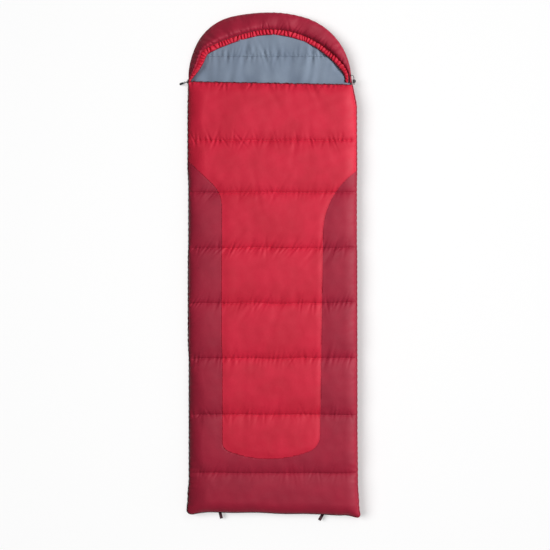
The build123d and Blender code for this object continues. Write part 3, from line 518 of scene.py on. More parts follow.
base_lining = lining_part("base_quilt_lining", [FOOT + 2, *SEAMS[1:-1], TOP - 40,
                                                HEAD_SEAM - 6, HEAD_SEAM + 8], 20,
                          "bottom_lining", lap=2.6)
head_lining = lining_part("head_lining", [HEAD_SEAM - 2, 1000.0, HOOD_Y + HOOD_RISE - 3], 30,
                          "hood_lining")

# ---------------- top quilt, panel outline
# The bright centre panel: a rounded tongue that flares to the full width at the chest.
PANEL_LEFT, PANEL_RIGHT, PANEL_RIGHT_LOW = -223.0, 220.0, 205.0
PANEL_FOOT, PANEL_TURN = -851.0, 70.0
LEFT_CORNER, RIGHT_CORNER = 45.0, 80.0
turn = np.radians(PANEL_TURN)
left_end = PANEL_LEFT + LEFT_CORNER * (1 - np.cos(turn))
right_end = PANEL_RIGHT_LOW - RIGHT_CORNER * (1 - np.cos(turn))
panel_half = (right_end - left_end) / 2
panel_sag = panel_half * np.tan((np.pi / 2 - turn) / 2)
left_y = PANEL_FOOT + panel_sag + LEFT_CORNER * np.sin(turn)
right_y = PANEL_FOOT + panel_sag + RIGHT_CORNER * np.sin(turn)
foot_r = (panel_half**2 + panel_sag**2) / (2 * panel_sag)
foot_x = (left_end + right_end) / 2
foot_turn = np.degrees(np.arcsin(panel_half / foot_r))


def flare(x, start_y, radius, degrees, side):
    """The panel's edge above its straight side: an arc outwards, then on in line."""
    a = np.radians(np.linspace(0, degrees, 90))
    bend = np.stack([x + side * radius * (1 - np.cos(a)), start_y + radius * np.sin(a)], -1)
    t = np.linspace(0, 1, 120)[1:, None]
    run = abs(side * (SIDE + 60) - bend[-1, 0])
    end = np.array([side * (SIDE + 60), bend[-1, 1] + run / np.tan(np.radians(degrees))])
    return np.concatenate([bend, bend[-1] + (end - bend[-1]) * t])


def straight(a, b, step=2.0):
    """Points from a to b, about step apart."""
    count = max(2, int(np.hypot(b[0] - a[0], b[1] - a[1]) / step))
    return np.linspace(a, b, count)


LEFT_FLARE, RIGHT_FLARE = 246.0, 125.0
panel_left_line = flare(PANEL_LEFT, LEFT_FLARE, 140.0, 46.0, -1)
panel_right_line = flare(PANEL_RIGHT, RIGHT_FLARE, 330.0, 49.0, 1)
panel_line = np.concatenate([
    panel_left_line[::-1],
    straight((PANEL_LEFT, LEFT_FLARE), (PANEL_LEFT, left_y)),
    arc(PANEL_LEFT + LEFT_CORNER, left_y, LEFT_CORNER, 180, 180 + PANEL_TURN),
    arc(foot_x, PANEL_FOOT + foot_r, foot_r, 270 - foot_turn, 270 + foot_turn),
    arc(PANEL_RIGHT_LOW - RIGHT_CORNER, right_y, RIGHT_CORNER, 360 - PANEL_TURN, 360),
    straight((PANEL_RIGHT_LOW, right_y), (PANEL_RIGHT, RIGHT_FLARE)),
    panel_right_line,
])
low_part = panel_line[panel_line[:, 1] < right_y + 1]


def panel_distance(x, y):
    """Distance to the panel's outline, negative inside it, and the nearest point on it."""
    shape = x.shape
    x, y = x.ravel(), y.ravel()
    near = np.zeros(len(x), int)
    for k in range(0, len(x), 6000):
        gap = ((x[k:k + 6000, None] - panel_line[:, 0]) ** 2
               + (y[k:k + 6000, None] - panel_line[:, 1]) ** 2)
        near[k:k + 6000] = np.argmin(gap, 1)
    foot = panel_line[near]
    left = np.interp(y, np.r_[left_y, panel_left_line[:, 1]],
                     np.r_[PANEL_LEFT, panel_left_line[:, 0]])
    right = np.interp(y, np.r_[right_y, panel_right_line[:, 1]],
                      np.r_[PANEL_RIGHT_LOW, panel_right_line[:, 0]])
    bottom = np.interp(x, low_part[:, 0], low_part[:, 1])
    inside = (x > left) & (x < right) & (y > bottom)
    gap = np.hypot(x - foot[:, 0], y - foot[:, 1])
    return np.where(inside, -gap, gap).reshape(shape), foot.reshape(*shape, 2)


# ---------------- top quilt, two-colour shell
# Bright taffeta panel and dark taffeta surround, joined by a lapped and topstitched seam, and
# quilted together with the fibre and the lining.  Each channel swells, and every seam puckers.
TOP_LOW = 46.0
SEAM_HIGH, CROWN = 67.0, 85.0
EDGE_HIGH, HEAD_HIGH = 55.0, 61.0
# How widely and how roundly the left side rolls off, at places from the foot to the head.
ROLL_AT = (-1000, -700, -300, 300, 480, 786)
ROLL_LEFT, ROLL_BEND = (74, 62, 66, 66, 68, 76), (1.6, 1.6, 2.1, 2.2, 1.55, 1.6)
ROLL_RIGHT, ROLL_FOOT, ROLL_HEAD = 58, 52, 46
# Depth and lean of the tucks at each seam, from the foot to the chest.
TUCKS = ((1.0, 0.1), (1.3, 0.1), (1.6, 0.2), (1.8, 0.35), (2.1, 0.5), (1.2, 0.25), (2.2, -0.1))


def top_edge_y(x, y):
    """The free edge drops towards the folded side; the last channel takes it up."""
    return y + (4.0 - 13.0 * np.clip((x + SIDE) / 711, 0, 1)) * smooth((y - 535) / 251)


def quilt_height(x, y, gap):
    """Height of the top quilt's face.

    The channels' profile is scaled down to the walls by rolled edges on all four sides.
    Tucks are added at the seams, the free edge and the sides, and a groove at the panel.
    """
    stops = np.array([FOOT - 26, *SEAMS[1:-1], TOP + 20])
    roof = SEAM_HIGH + (CROWN - SEAM_HIGH) * channel(y, stops)
    left, right = x - edge_x(y, -1), edge_x(y, 1) - x
    slope = through(y, ROLL_AT, ROLL_LEFT) * (1 + 0.12 * np.sin(y / 57))
    fall = (rolled(left, slope, through(y, ROLL_AT, ROLL_BEND)) * rolled(right, ROLL_RIGHT)
            * rolled(y - FOOT, ROLL_FOOT, 2.0))
    head = rolled(TOP - y, ROLL_HEAD, 2.0)
    wall = EDGE_HIGH + (HEAD_HIGH - EDGE_HIGH) * smooth((y - 735) / 50)
    z = wall + (roof - wall) * fall * head
    inner = rolled(left, 26) * rolled(right, 26)
    for k, (s, (depth, lean)) in enumerate(zip(SEAMS[1:-1], TUCKS)):
        z += inner * gathers(x, y - s, -358, 358, 19, depth, 5.2, 20, lean, 60 + k)
        z += inner * gathers(x, y - s, -358, 358, 80, depth * 0.7, 15, 50, lean, 160 + k)
    z += gathers(x, TOP - y, -360, 340, 19, 3.6, 6, 15, -0.1, 71)
    z += gathers(x, TOP - y, -360, 340, 80, 2.4, 16, 40, 0.3, 72)
    z += rolled(left, 8) * gathers(y, left, FOOT, TOP, 24, 1.8, 6.5, 22, 0.2, 73)
    z += rolled(right, 8) * gathers(y, right, FOOT, TOP, 29, 1.1, 7.5, 20, -0.2, 74)
    z += inner * head * (1.2 * ripple(x, y, 230, 75) + 0.4 * ripple(x, y * 1.4, 70, 76))
    inside = np.where(x < foot_x, 22.0, 13.0)
    z -= inner * 2.6 * np.exp(-((gap / np.where(gap < 0, inside, 30.0)) ** 2))
    return z


top_rows = rows_between(SEAMS, 44)
grid_x, grid_y, level, quads = face_and_walls(top_rows, 184, 3)


def shell_part(name, sign, lap, lower, material, replaced):
    """The part of the top quilt's face on one side of the panel's outline.

    Cells that reach over the outline keep their outer corners on it, or past it by the lap.
    """
    gap, foot = panel_distance(grid_x, grid_y)
    mine = gap * sign > 0
    across = np.stack([grid_x, grid_y], -1)
    away = (across - foot) / np.maximum(np.abs(gap), 1e-6)[..., None]
    moved = np.where(mine[..., None], across, foot + lap * away)
    x, y = moved[..., 0], moved[..., 1]
    y = np.clip(y, FOOT, TOP)
    x = np.clip(x, edge_x(y, -1), edge_x(y, 1))
    gap_now, _ = panel_distance(x, y)
    face_z = quilt_height(x, y, gap_now) - np.where(mine, 0, lower)
    z = face_z + (TOP_LOW + 0.3 - face_z) * level
    tuck = level**2 - 0.2 * np.sin(np.pi * level)
    x = x - tuck * np.sign(x) * (np.abs(x) > 300)
    points = np.stack([x, top_edge_y(x, y), z], -1).reshape(-1, 3)
    touches = mine.ravel()[quads].any(1)
    made = piece(name, lie(points), quads[touches], material, "top_quilt", replaced,
                 thick=0.8)


shell_part("centre_panel", -1, 0.0, 0.0, bright_taffeta, ("top_shell_centre",))
shell_part("surround_panel", 1, 3.0, 1.0, dark_taffeta,
           ("top_shell_surround", "top_insulation"))

# ---------------- top quilt, lining
# The same brushed grey lining under the top quilt, seen when it is folded back.
ys = rows_between([FOOT + 2, *SEAMS[1:-1], TOP - 2], 20, 0.45)
x, y, _, quads = face_and_walls(ys, 110, 0, 2.0)
to_side = np.minimum(x - edge_x(y, -1, 2), edge_x(y, 1, 2) - x)
ends = rolled(y - FOOT, 40) * rolled(TOP - y, 40)
stops = np.array([FOOT - 20, *SEAMS[1:-1], TOP + 20])
z = TOP_LOW - 0.1 - 2.4 * (channel(y, stops) * rolled(to_side - 18, 60) * ends)
z += rolled(to_side, 30) * seam_tucks(x, y, SEAMS[1:-1], 350, (28, 0.7, 7, 22, 0.2), 90)
z = np.minimum(z, TOP_LOW + 0.2)
points = np.stack([x, top_edge_y(x, y), z], -1).reshape(-1, 3)
top_lining = piece("top_quilt_lining", lie(points), quads[:, ::-1], lining_cloth, "top_quilt",
                   ("top_lining",), thick=0.7)


# ---------------- hood, padded band
# A crescent of dark taffeta filled with fibre, sewn along its outer edge to the head of the
# base quilt and along its inner edge to the drawcord channel, which gathers it.
def by_angle(line):
    """Points of an arch at evenly spaced shares of its angle about a point under its feet."""
    turn = np.arctan2(line[:, 1] - HOOD_Y + 70, line[:, 0] - HOOD_X)
    return resampled(line, turn, BAND_RINGS)


def solid(name, rings, material, body, replaced, uv=None, loop=False):
    """A closed piece made of rings of points, with quads between each ring and the next.

    In a loop the last ring also meets the first.
    """
    quads = grid_faces(*rings.shape[:2], rows_close=loop, cols_close=True)
    return piece(name, rings.reshape(-1, 3), quads, material, body, replaced,
                 closed=True, uv=uv)


def lying(rings):
    """Rings of points, moved as the soft bag comes to lie."""
    return lie(rings.reshape(-1, 3)).reshape(rings.shape)


def around(count):
    """Angles evenly spaced round a circle, as one row."""
    return np.linspace(0, 2 * np.pi, count, endpoint=False)[None, :]


def blunt(wave, power):
    """A sine or cosine, raised to a power with its sign kept: it squares up a round section."""
    return np.sign(wave) * np.abs(wave) ** power


BAND_RINGS, BAND_TOP, BAND_LOW, BAND_HIGH = 620, 44, 32.4, 37.7
leg_y = HOOD_Y - LEG_END
outer = by_angle(np.concatenate([[(float(edge_x(np.array(leg_y), 1)), leg_y)], hood_line(0.0),
                                 [(-SIDE, leg_y)]]))
inner = by_angle(face_line(21.0))
run, run_out = run_of(inner)[:, None], run_of(outer)[:, None]
width = np.hypot(*(inner - outer).T)[:, None]
angle = np.linspace(0, np.pi, BAND_TOP)[None, :]
share = (1 - blunt(np.cos(angle), 0.78)) / 2
lift = np.abs(np.sin(angle)) ** 0.62
leftward = smooth((HOOD_X + 60 - outer[:, :1]) / 230)
height = np.minimum(BAND_HIGH, 13 + 0.5 * width) + 16 * leftward * smooth(width / 60)
z = BAND_LOW + lift * np.maximum(height * (1 - 0.8 * leftward * (1 - share)), 10)
from_inner = (1 - share) * width
z += lift * gathers(run, from_inner, 0, run[-1, 0], 15, 2.4, 4.4, 15, 0.0, 101)
z += lift * gathers(run, from_inner, 20, run[-1, 0], 52, 2.4, 9, 40, 0.15, 102)
z += lift * np.minimum(width / 72, 1) * 2.0 * ripple(run_out, from_inner * 0.8, 95, 103)
z += lift * gathers(run_out, share * width, 0, run_out[-1, 0], 34, 1.5, 8, 16, 0.1, 104)
plan = outer[:, None] * (1 - share[..., None]) + inner[:, None] * share[..., None]
normal = outer - inner
normal /= np.maximum(np.hypot(*normal.T), 1e-6)[:, None]
bulge = 1.6 * np.sin(np.pi * np.clip((z - BAND_LOW) / height, 0, 1)) * (share < 0.25)
scallops = np.sin(2 * np.pi * run_out / 31 + 2 * np.sin(run_out / 90))
bulge = bulge + 0.9 * scallops * (1 - share) ** 3
plan = plan + normal[:, None] * bulge[..., None]
under = np.array([0.75, 0.5, 0.25])[None, :, None]
floor = inner[:, None] * under + outer[:, None] * (1 - under)
floor = np.concatenate([floor, np.full((*floor.shape[:2], 1), BAND_LOW)], -1)
band = np.concatenate([np.concatenate([plan, z[..., None]], -1), floor], 1)
hood_band = solid("hood_band", band, dark_taffeta, "base_quilt",
                  ("hood_shell", "hood_insulation"))

# ---------------- hood, drawcord channel
# A tunnel of bright taffeta round the face opening.  The cord inside draws it up, so it
# stands in close, sharp folds across its whole width.
TUNNEL_RINGS, TUNNEL_SIDES = 1500, 26
TUNNEL_HALF, TUNNEL_Z, TUNNEL_RISE, TUNNEL_LOW = 12.6, 40.2, 7.8, 32.5
line = face_line(12.3)
run = run_of(line)
middle = resampled(line, run, TUNNEL_RINGS)
run = np.linspace(0, run[-1], TUNNEL_RINGS)[:, None]
outward = directions(middle)[1]
angle = around(TUNNEL_SIDES)
across = np.cos(angle)
FOLD_PITCH = 15.0
uneven = 6.5 * ripple(run, 0, 85, 111) + 1.6 * ripple(run, across * 8, 26, 112)
phase = np.pi * (run + uneven + 7.0 * across * ripple(run, 0, 90, 113, 5)) / FOLD_PITCH
fold = np.abs(np.sin(phase)) ** 0.7
tall = 0.85 + 0.35 * ripple(run, 0, 70, 114, 5)
up = np.maximum(np.sin(angle), 0) ** 0.5
half_wide = (TUNNEL_HALF + 2.6 * (fold - 0.5) * (across > 0)
             + 1.0 * ripple(run, 0, 40, 115))
from_left = run[-1] - run
narrow = (0.45 + 0.55 * smooth(from_left / 120)) * (0.5 + 0.5 * smooth(run / 110))
aside = TUNNEL_HALF * (1 - narrow) * (0.6 * (1 - smooth(from_left / 160))
                                      - 0.7 * (1 - smooth(run / 130)))
reach = blunt(across, 0.75) * half_wide * narrow + aside
mouth_edge = middle + outward * (aside - TUNNEL_HALF * narrow)
z = TUNNEL_Z + blunt(np.sin(angle), 0.75) * TUNNEL_RISE
z = np.maximum(z + up * (8.0 * tall * (fold - 0.4)), TUNNEL_LOW)
plan = middle[:, None] + outward[:, None] * reach[..., None]
band = np.concatenate([plan, z[..., None]], -1)
hood_channel = solid("hood_drawcord_tunnel", band, bright_taffeta, "base_quilt",
                     ("hood_drawcord_channel", "hood_drawcord"))


# ---------------- trims of the hood and sides
# Narrow dark binding: a corded piping in the folded side and round the hood, and a thin
# rolled trim along the inner edge of the drawcord tunnel, drawn dark to stand also for the
# painted shadow under the tunnel's edge.
def tube(path, radius, sides=10, flat=1.0, axis=(0, 0, 1)):
    """Rings about a path: the path plus r cos a along its normal plus flat r sin a upright."""
    t = np.gradient(path, axis=0)
    t /= np.maximum(np.linalg.norm(t, axis=1), 1e-9)[:, None]
    n = np.cross(t, axis)
    n /= np.maximum(np.linalg.norm(n, axis=1), 1e-9)[:, None]
    b = np.cross(n, t)
    a = around(sides)[..., None]
    r = np.reshape(radius, (-1, 1, 1))
    return path[:, None] + r * np.cos(a) * n[:, None] + flat * r * np.sin(a) * b[:, None]


trim_cloth = cloth("binding_maroon", TRIM_RED, TRIM_SHADE, THREAD, roughness=0.6, sheen=0.2)


def fold_line(off, top_y, step=3.0):
    """From the zip's end along the foot, round its right corner and up the folded side."""
    y = np.arange(FOOT + CORNER_RIGHT, top_y, step)[1:]
    return spaced(np.concatenate([
        straight((327.0, FOOT - off), (SIDE - CORNER_RIGHT, FOOT - off)),
        arc(SIDE - CORNER_RIGHT, FOOT + CORNER_RIGHT, CORNER_RIGHT + off, -90, 0, 1.0)[1:],
        np.column_stack([edge_x(y, 1) + off, y])]), step)


PIPING_STEP, HOOD_PIPING_Z = 4.0, 33.6
hood_outer = hood_line(0.8)
hood_outer = hood_outer[:np.argmax((hood_outer[:, 0] < HOOD_X - 200) & (hood_outer[:, 1] < 812))]
route = spaced(np.concatenate([fold_line(2.5, HOOD_Y - 2), hood_outer[1:]]), PIPING_STEP)
eased = route.copy()
for _ in range(12):
    eased[1:-1] = (eased[:-2] + 2 * eased[1:-1] + eased[2:]) / 4
route += (eased - route) * smooth((route[:, 1:] - 640) / 40)
path = np.column_stack([route, np.full(len(route), FOLD_Z)])
along = np.arange(len(path)) * PIPING_STEP
hoodward = smooth((path[:, 1] - 800) / 40)
path[:, 2] += hoodward * (HOOD_PIPING_Z - FOLD_Z + 0.3 * np.sin(along / 17))
radius = (2.2 + 0.15 * np.sin(along / 5)) * (1 - 0.6 * smooth((along - along[-1] + 20) / 20))
solid("edge_piping_cord", lying(tube(path, radius, 10)), dark_taffeta, "base_quilt",
      ("edge_piping",))

# The dark cord along the tunnel's inner edge is partly a trim, partly painted shadow under the
# tunnel.
rim = spaced(mouth_edge, 3.0)
along = np.arange(len(rim)) * 3.0
path = np.column_stack([rim, 42.5 + 0.8 * np.sin(along / 11)])
solid("hood_mouth_trim_and_shadow", tube(path, 1.9, 8), trim_cloth, "base_quilt", ())


def ribbon(path, thick, low, high, steps=3):
    """A flat strip on edge along a path: a closed section, thick across, from low to high."""
    n = directions(path)[1][:, None]
    up = np.linspace(0, 1, steps + 1)
    share = np.concatenate([up, up[::-1]])[None, :, None]
    side = np.concatenate([np.full(steps + 1, -0.5), np.full(steps + 1, 0.5)])[None, :, None]
    plan = path[:, None] + n * side * thick
    z = np.reshape(low, (-1, 1, 1)) * (1 - share) + np.reshape(high, (-1, 1, 1)) * share
    return np.concatenate([plan, z + 0 * plan[..., :1]], -1)


for name, node_name, body, low, high in (
        ("fold_strip_low", "fold_strip_lower", "base_quilt", 16.0, 36.5),
        ("fold_strip_high", "fold_strip_upper", "top_quilt", 41.5, 56.0)):
    side_run = fold_line(0.9, TOP - 3)
    if body == "top_quilt":
        side_run[:, 1] = top_edge_y(side_run[:, 0], side_run[:, 1])
    solid(name, lying(ribbon(side_run, 1.2, low, high)), dark_taffeta, body, (node_name,))

# The top quilt's free edge is bound with the same maroon strip, which the gathers wrinkle.
edge_run = straight((-SIDE + 0.5, TOP + 5.6), (338.0, TOP - 7.2), 2.0)
at = np.arange(len(edge_run)) * 2.0
edge_run[:, 1] += 1.0 * ripple(at, 0, 30, 121) + 0.9 * ripple(at, 0, 12, 122)
high = (60.5 + 1.6 * ripple(at, 0, 26, 123)
        - 4 * smooth((at - 660) / 44) - 4 * smooth((24 - at) / 24))
section = ribbon(edge_run, 3.4, np.full(len(at), 46.4), high, 5)
section[:, 4:8, 2] += np.array([-0.4, 0.5, 0.5, -0.4])
solid("top_edge_bound", lying(section), trim_cloth, "top_quilt", ("top_edge_binding",))


# ---------------- zip
# A size 5 separating coil zip down the left side and along the foot: knitted polyester tapes,
# and on each a coil of nylon monofilament.  Real coils have a turn each 1.3 mm; these have one
# each 2.2 mm, so that they show.
def zip_line(off, top_y, step):
    """Down the left side, round the foot's corner and along the foot, off outside the wall."""
    line = np.concatenate([
        straight((-SIDE - off, top_y), (-SIDE - off, FOOT + CORNER_LEFT)),
        arc(-SIDE + CORNER_LEFT, FOOT + CORNER_LEFT, CORNER_LEFT + off, 180, 270, 1.0)[1:],
        straight((-SIDE + CORNER_LEFT, FOOT - off), (325.0, FOOT - off))[1:]])
    return spaced(line, step)


tape_cloth = cloth("zip_tape_black_maroon", "3A0D18", "2C0A12", 0.9, roughness=0.7, sheen=0.1,
                   crease=0.1)


def hard(name, colour, worn, low, high=None, metallic=0.0, scale=500.0, detail=3.0, ior=1.5,
         relief=0.2):
    """Hard finish on object coordinates: a fine grain in its gloss, colour and relief.

    Its roughness runs from low to high over the grain, or is low all over.
    """
    m = new_material(name)
    grain = noise(m, node(m, "TexCoord").outputs["Object"], scale, detail)
    inputs = {"Base Color": mixed(m, grain, colour, worn), "Metallic": metallic, "IOR": ior,
              "Roughness": low if high is None else spread(m, grain, low, high)}
    if relief:
        inputs["Normal"] = bump(m, grain, relief, 0.0001)
    return surface(m, "BsdfPrincipled", inputs)


# Drawn nylon monofilament, smooth and slightly glossy, nearly black.
nylon = hard("zip_coil_nylon", "16090D", "230E14", 0.5, 0.65, 0.0, 700.0, 2.0, 1.4, relief=0)

for name, node_name, body, low, high, top_y in (
        ("zip_tape_low", "zip_tape_lower", "base_quilt", 19.0, 38.85, 807.0),
        ("zip_tape_high", "zip_tape_upper", "top_quilt", 39.15, 56.0, 784.0)):
    solid(name, lying(ribbon(zip_line(0.8, top_y, 4.0), 1.0, low, high)), tape_cloth, body,
          (node_name,))

COIL_PITCH, COIL_STEPS = 2.2, 9
for name, node_name, body, centre_z, top_y in (
        ("zip_coil_low", "zip_coil_lower", "base_quilt", 37.2, 800.0),
        ("zip_coil_high", "zip_coil_upper", "top_quilt", 40.8, 784.0)):
    # A flattened helix: the line plus 1.5 cos a outwards plus 1.3 sin a upwards.
    line = zip_line(3.4, top_y, COIL_PITCH / COIL_STEPS)
    t, n = directions(line)
    a = 2 * np.pi * np.arange(len(line)) / COIL_STEPS
    path = np.column_stack([line + n * 1.5 * np.cos(a)[:, None], centre_z + 1.3 * np.sin(a)])
    axis = np.column_stack([t, np.zeros(len(t))])
    solid(name, lying(tube(path, 0.32, 5, axis=axis)), nylon, body, (node_name,))

# Padded draft tubes of lining cloth behind the chain, inside the bag.
TUBE_X, TUBE_Y, TUBE_STEP = -354.4, FOOT + 11.6, 5.0
for name, node_name, ends in (
        ("draft_tube_long", "draft_tube_side", ((TUBE_X, FOOT + 46), (TUBE_X, TOP - 10))),
        ("draft_tube_short", "draft_tube_foot", ((-320, TUBE_Y), (325, TUBE_Y)))):
    run = straight(*ends, TUBE_STEP)
    wave = np.arange(len(run)) * TUBE_STEP
    path = np.column_stack([run, np.full(len(run), 38.9)])
    rings = tube(path, 7.6 + 0.5 * ripple(wave, 0, 45, 131), 14, 0.75)
    made = solid(name, lying(rings), lining_cloth, "base_quilt", (node_name,))


# ---------------- metal of the zip, eyelet and cord lock
# Slider, pull tab, stops and eyelet: die-cast and pressed zinc with a black baked lacquer,
# rubbed to a lower gloss; the stops are crimped on the coil's ends.  The cord lock is moulded
# in acetal round a steel spring.
black_lacquer = hard("zinc_black_lacquer", "141416", "26262A", 0.3, 0.5)
bright_steel = hard("spring_steel", "9A9CA0", "B4B6BA", 0.25, 0.4, 1.0, 1000 / 0.6)
moulded_acetal = hard("acetal_black_moulded", "17181A", "222326", 0.35, 0.5)
button_acetal = hard("acetal_button_moulded", "1E2022", "2A2C2F", 0.3, 0.45)


def finish_node(name, material):
    """Give a CAD node its material, in place of the plain one."""
    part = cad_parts[name]
    part.data.materials.clear()
    part.data.materials.append(material)


for name in ("zip_slider", "zip_pull_tab", "zip_top_stop", "drawcord_eyelet"):
    finish_node(name, black_lacquer)
finish_node("cord_lock_body", moulded_acetal)
finish_node("cord_lock_button", button_acetal)
finish_node("cord_lock_spring", bright_steel)

# The foot stop sits on the coil's end, and moves with the foot's skew.
low, high = (np.array(c) * 1000 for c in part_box("zip_bottom_stop"))
mid, half = (high + low) / 2, (high - low) / 2
t = np.linspace(0, 1, 7)[:, None]
a = around(16)
round_end = 1 - 0.25 * np.abs(2 * t - 1) ** 4
points = np.stack([mid[0] + half[0] * (2 * t - 1) + 0 * a,
                   mid[1] + half[1] * round_end * blunt(np.cos(a), 0.5),
                   mid[2] + half[2] * round_end * blunt(np.sin(a), 0.5)], -1)
solid("zip_foot_stop", lying(points), black_lacquer, "base_quilt", ("zip_bottom_stop",))

# ---------------- puller
# A loop of thin braided cord through the pull tab, its ends moulded into a soft grip.
PIN = np.array([-374.3, 792.25, FOLD_Z])
SWING, DROOP, BIGHT = np.radians(10.0), np.radians(53.0), 7.2


def hang(p):
    """From the puller's own frame, where it runs towards -X, to its place on the tab."""
    x = p[..., 0] * np.cos(DROOP) - p[..., 2] * np.sin(DROOP) - BIGHT
    z = p[..., 0] * np.sin(DROOP) + p[..., 2] * np.cos(DROOP)
    y = p[..., 1]
    return np.stack([x * np.cos(SWING) - y * np.sin(SWING),
                     x * np.sin(SWING) + y * np.cos(SWING), z], -1) + PIN


def unrolled(along, across):
    """UV coordinates in mm: the distance along a cord or a strap, and the distance across."""
    return np.stack(np.broadcast_arrays(along[:, None], across), -1).reshape(-1, 2)


# Braided polyester cord: crossing strands, matt, with a little stray fibre.
braid = new_material("polyester_braid_black")
uv = node(braid, "UVMap").outputs["UV"]
strands = [bands(braid, node(braid, "Mapping", {"Vector": uv, "Rotation": (0, 0, turn)}
                             ).outputs[0], 260.0) for turn in (0.7, -0.7)]
plait = combined(braid, "MAXIMUM", *strands)
surface(braid, "BsdfPrincipled", {
    "Base Color": mixed(braid, plait, "141417", "2E2E33"), "Roughness": 0.8,
    "Sheen Weight": 0.2, "Normal": bump(braid, plait, 0.6, 0.0003)})

PULL_R, PULL_HALF, NECK = 1.4, 2.75, 17.0
loop = np.concatenate([straight((-NECK - 3, -PULL_HALF), (-PULL_HALF, -PULL_HALF), 0.5),
                       arc(-PULL_HALF, 0, PULL_HALF, -90, 90, 0.4)[1:],
                       straight((-PULL_HALF, PULL_HALF), (-NECK - 3, PULL_HALF), 0.5)[1:]])
path = np.column_stack([loop, np.zeros(len(loop))])
rings = tube(path, PULL_R + 0.06 * np.sin(np.arange(len(path)) * 1.7), 12)
solid("puller_loop", hang(rings), braid, "puller", ("puller_cord",),
      uv=unrolled(np.arange(len(path)) * 0.5, np.linspace(0, 8.8, 12)))

# Moulded thermoplastic rubber: matt, faintly grained by its mould.
rubber = hard("puller_grip_rubber", "16181B", "24272B", 0.6, scale=1600.0, relief=0.3)
# The grip widens from its neck and ends round; its section is a rounded oblong, and five
# shallow grooves cross it.
GRIP = 28.0
t = np.linspace(0, 1, 70)[:, None]
a = around(28)
end_round = np.sqrt(1 - np.clip((t - 0.82) / 0.18, 0, 1) ** 2)
neck_round = np.sqrt(1 - np.clip((0.06 - t) / 0.06, 0, 1) ** 2)
rounding = np.maximum(end_round * neck_round, 0.03)
half_w = (4.2 + 0.8 * smooth(t / 0.7)) * rounding
half_t = 2.5 * (0.85 + 0.15 * np.sin(np.pi * t)) * rounding
grooves = np.array([0.25, 0.36, 0.47, 0.58, 0.69])
groove = 1 - 0.13 * np.exp(-((t[..., None] - grooves) / 0.022) ** 2).sum(-1)
points = np.stack([-NECK - GRIP * t + 0 * a, half_w * blunt(np.cos(a), 0.7),
                   half_t * groove * blunt(np.sin(a), 0.7)], -1)
solid("puller_grip_moulding", hang(points), rubber, "puller", ("puller_grip",))

# ---------------- drawcord's free end
# Braided polyester cord, 2.5 mm, out of the eyelet, round and down through the cord lock.  A
# knot keeps the lock on.  The route's points are the part's own.
CORD_Z = 45.5
TAIL = ((343.5, 821.0), (350.5, 821.0), (355.8, 815.7), (355.8, 784.3))
curve = bpy.data.curves.new("drawcord_free_end", "CURVE")
curve.dimensions = "3D"
curve.bevel_depth = 0.00125
curve.bevel_resolution = 4
curve.resolution_u = 16
curve.use_fill_caps = True
spline = curve.splines.new("NURBS")
spline.points.add(len(TAIL) - 1)
for point, place in zip(spline.points, TAIL):
    point.co = (*(c * 0.001 for c in (*place, CORD_Z)), 1.0)
spline.order_u = 3
spline.use_endpoint_u = True
curve.materials.append(braid)
tail = placed("drawcord_free_end", curve)
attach(tail, "base_quilt")
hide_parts("drawcord_tail")

# An overhand knot, drawn tight: a trefoil path, x = sin t + 2 sin 2t, z = cos t - 2 cos 2t.
t = np.linspace(0, 2 * np.pi, 90, endpoint=False)
knot = np.stack([355.8 + 0.62 * (np.sin(t) + 2 * np.sin(2 * t)),
                 782.6 - 1.5 * np.sin(3 * t) * 0.7,
                 CORD_Z + 0.62 * (np.cos(t) - 2 * np.cos(2 * t))], -1)
rings = tube(np.concatenate([knot, knot[:1]]), 1.1, 10, axis=(0.02, 1, 0.03))[:-1]
knot_piece = solid("drawcord_end_knot", rings, braid, "base_quilt", ("drawcord_knot",),
                   unrolled(np.arange(len(rings)) * 0.35, np.linspace(0, 7, 10)), loop=True)

# ---------------- hang loops at the foot
# Two loops of folded polyester webbing, 13 mm wide, on tabs that are stitched over the zip
# tape.  The webbing is dark maroon, its ribs of weave paler.
webbing = new_material("webbing_maroon")
# Webbing: coarse herringbone ribs across a flat strip; 1.4 mm ribs, as the real ones.
uv = node(webbing, "UVMap").outputs["UV"]
ribs = bands(webbing, uv, 2 * np.pi / (20 * 0.0014), Distortion=1.2)
wales = bands(webbing, uv, 2 * np.pi / (20 * 0.002), "Y")
weave = combined(webbing, "MULTIPLY", ribs, wales)
surface(webbing, "BsdfPrincipled", {
    "Base Color": mixed(webbing, weave, "33101C", "6A3040"), "Roughness": 0.75,
    "Sheen Weight": 0.3, "Normal": bump(webbing, weave, 0.7, 0.0004)})

LOOP_LENGTH, LOOP_BULGE, LOOP_T, LOOP_W, LOOP_Z = 28.0, 4.6, 1.4, 13.0, 20.0
LAYER, TUCKED = 0.8, 5.0   # half the way between the two layers, and their run under the tab
LOOP_LEFT, LOOP_RIGHT = -228.0, 212.0
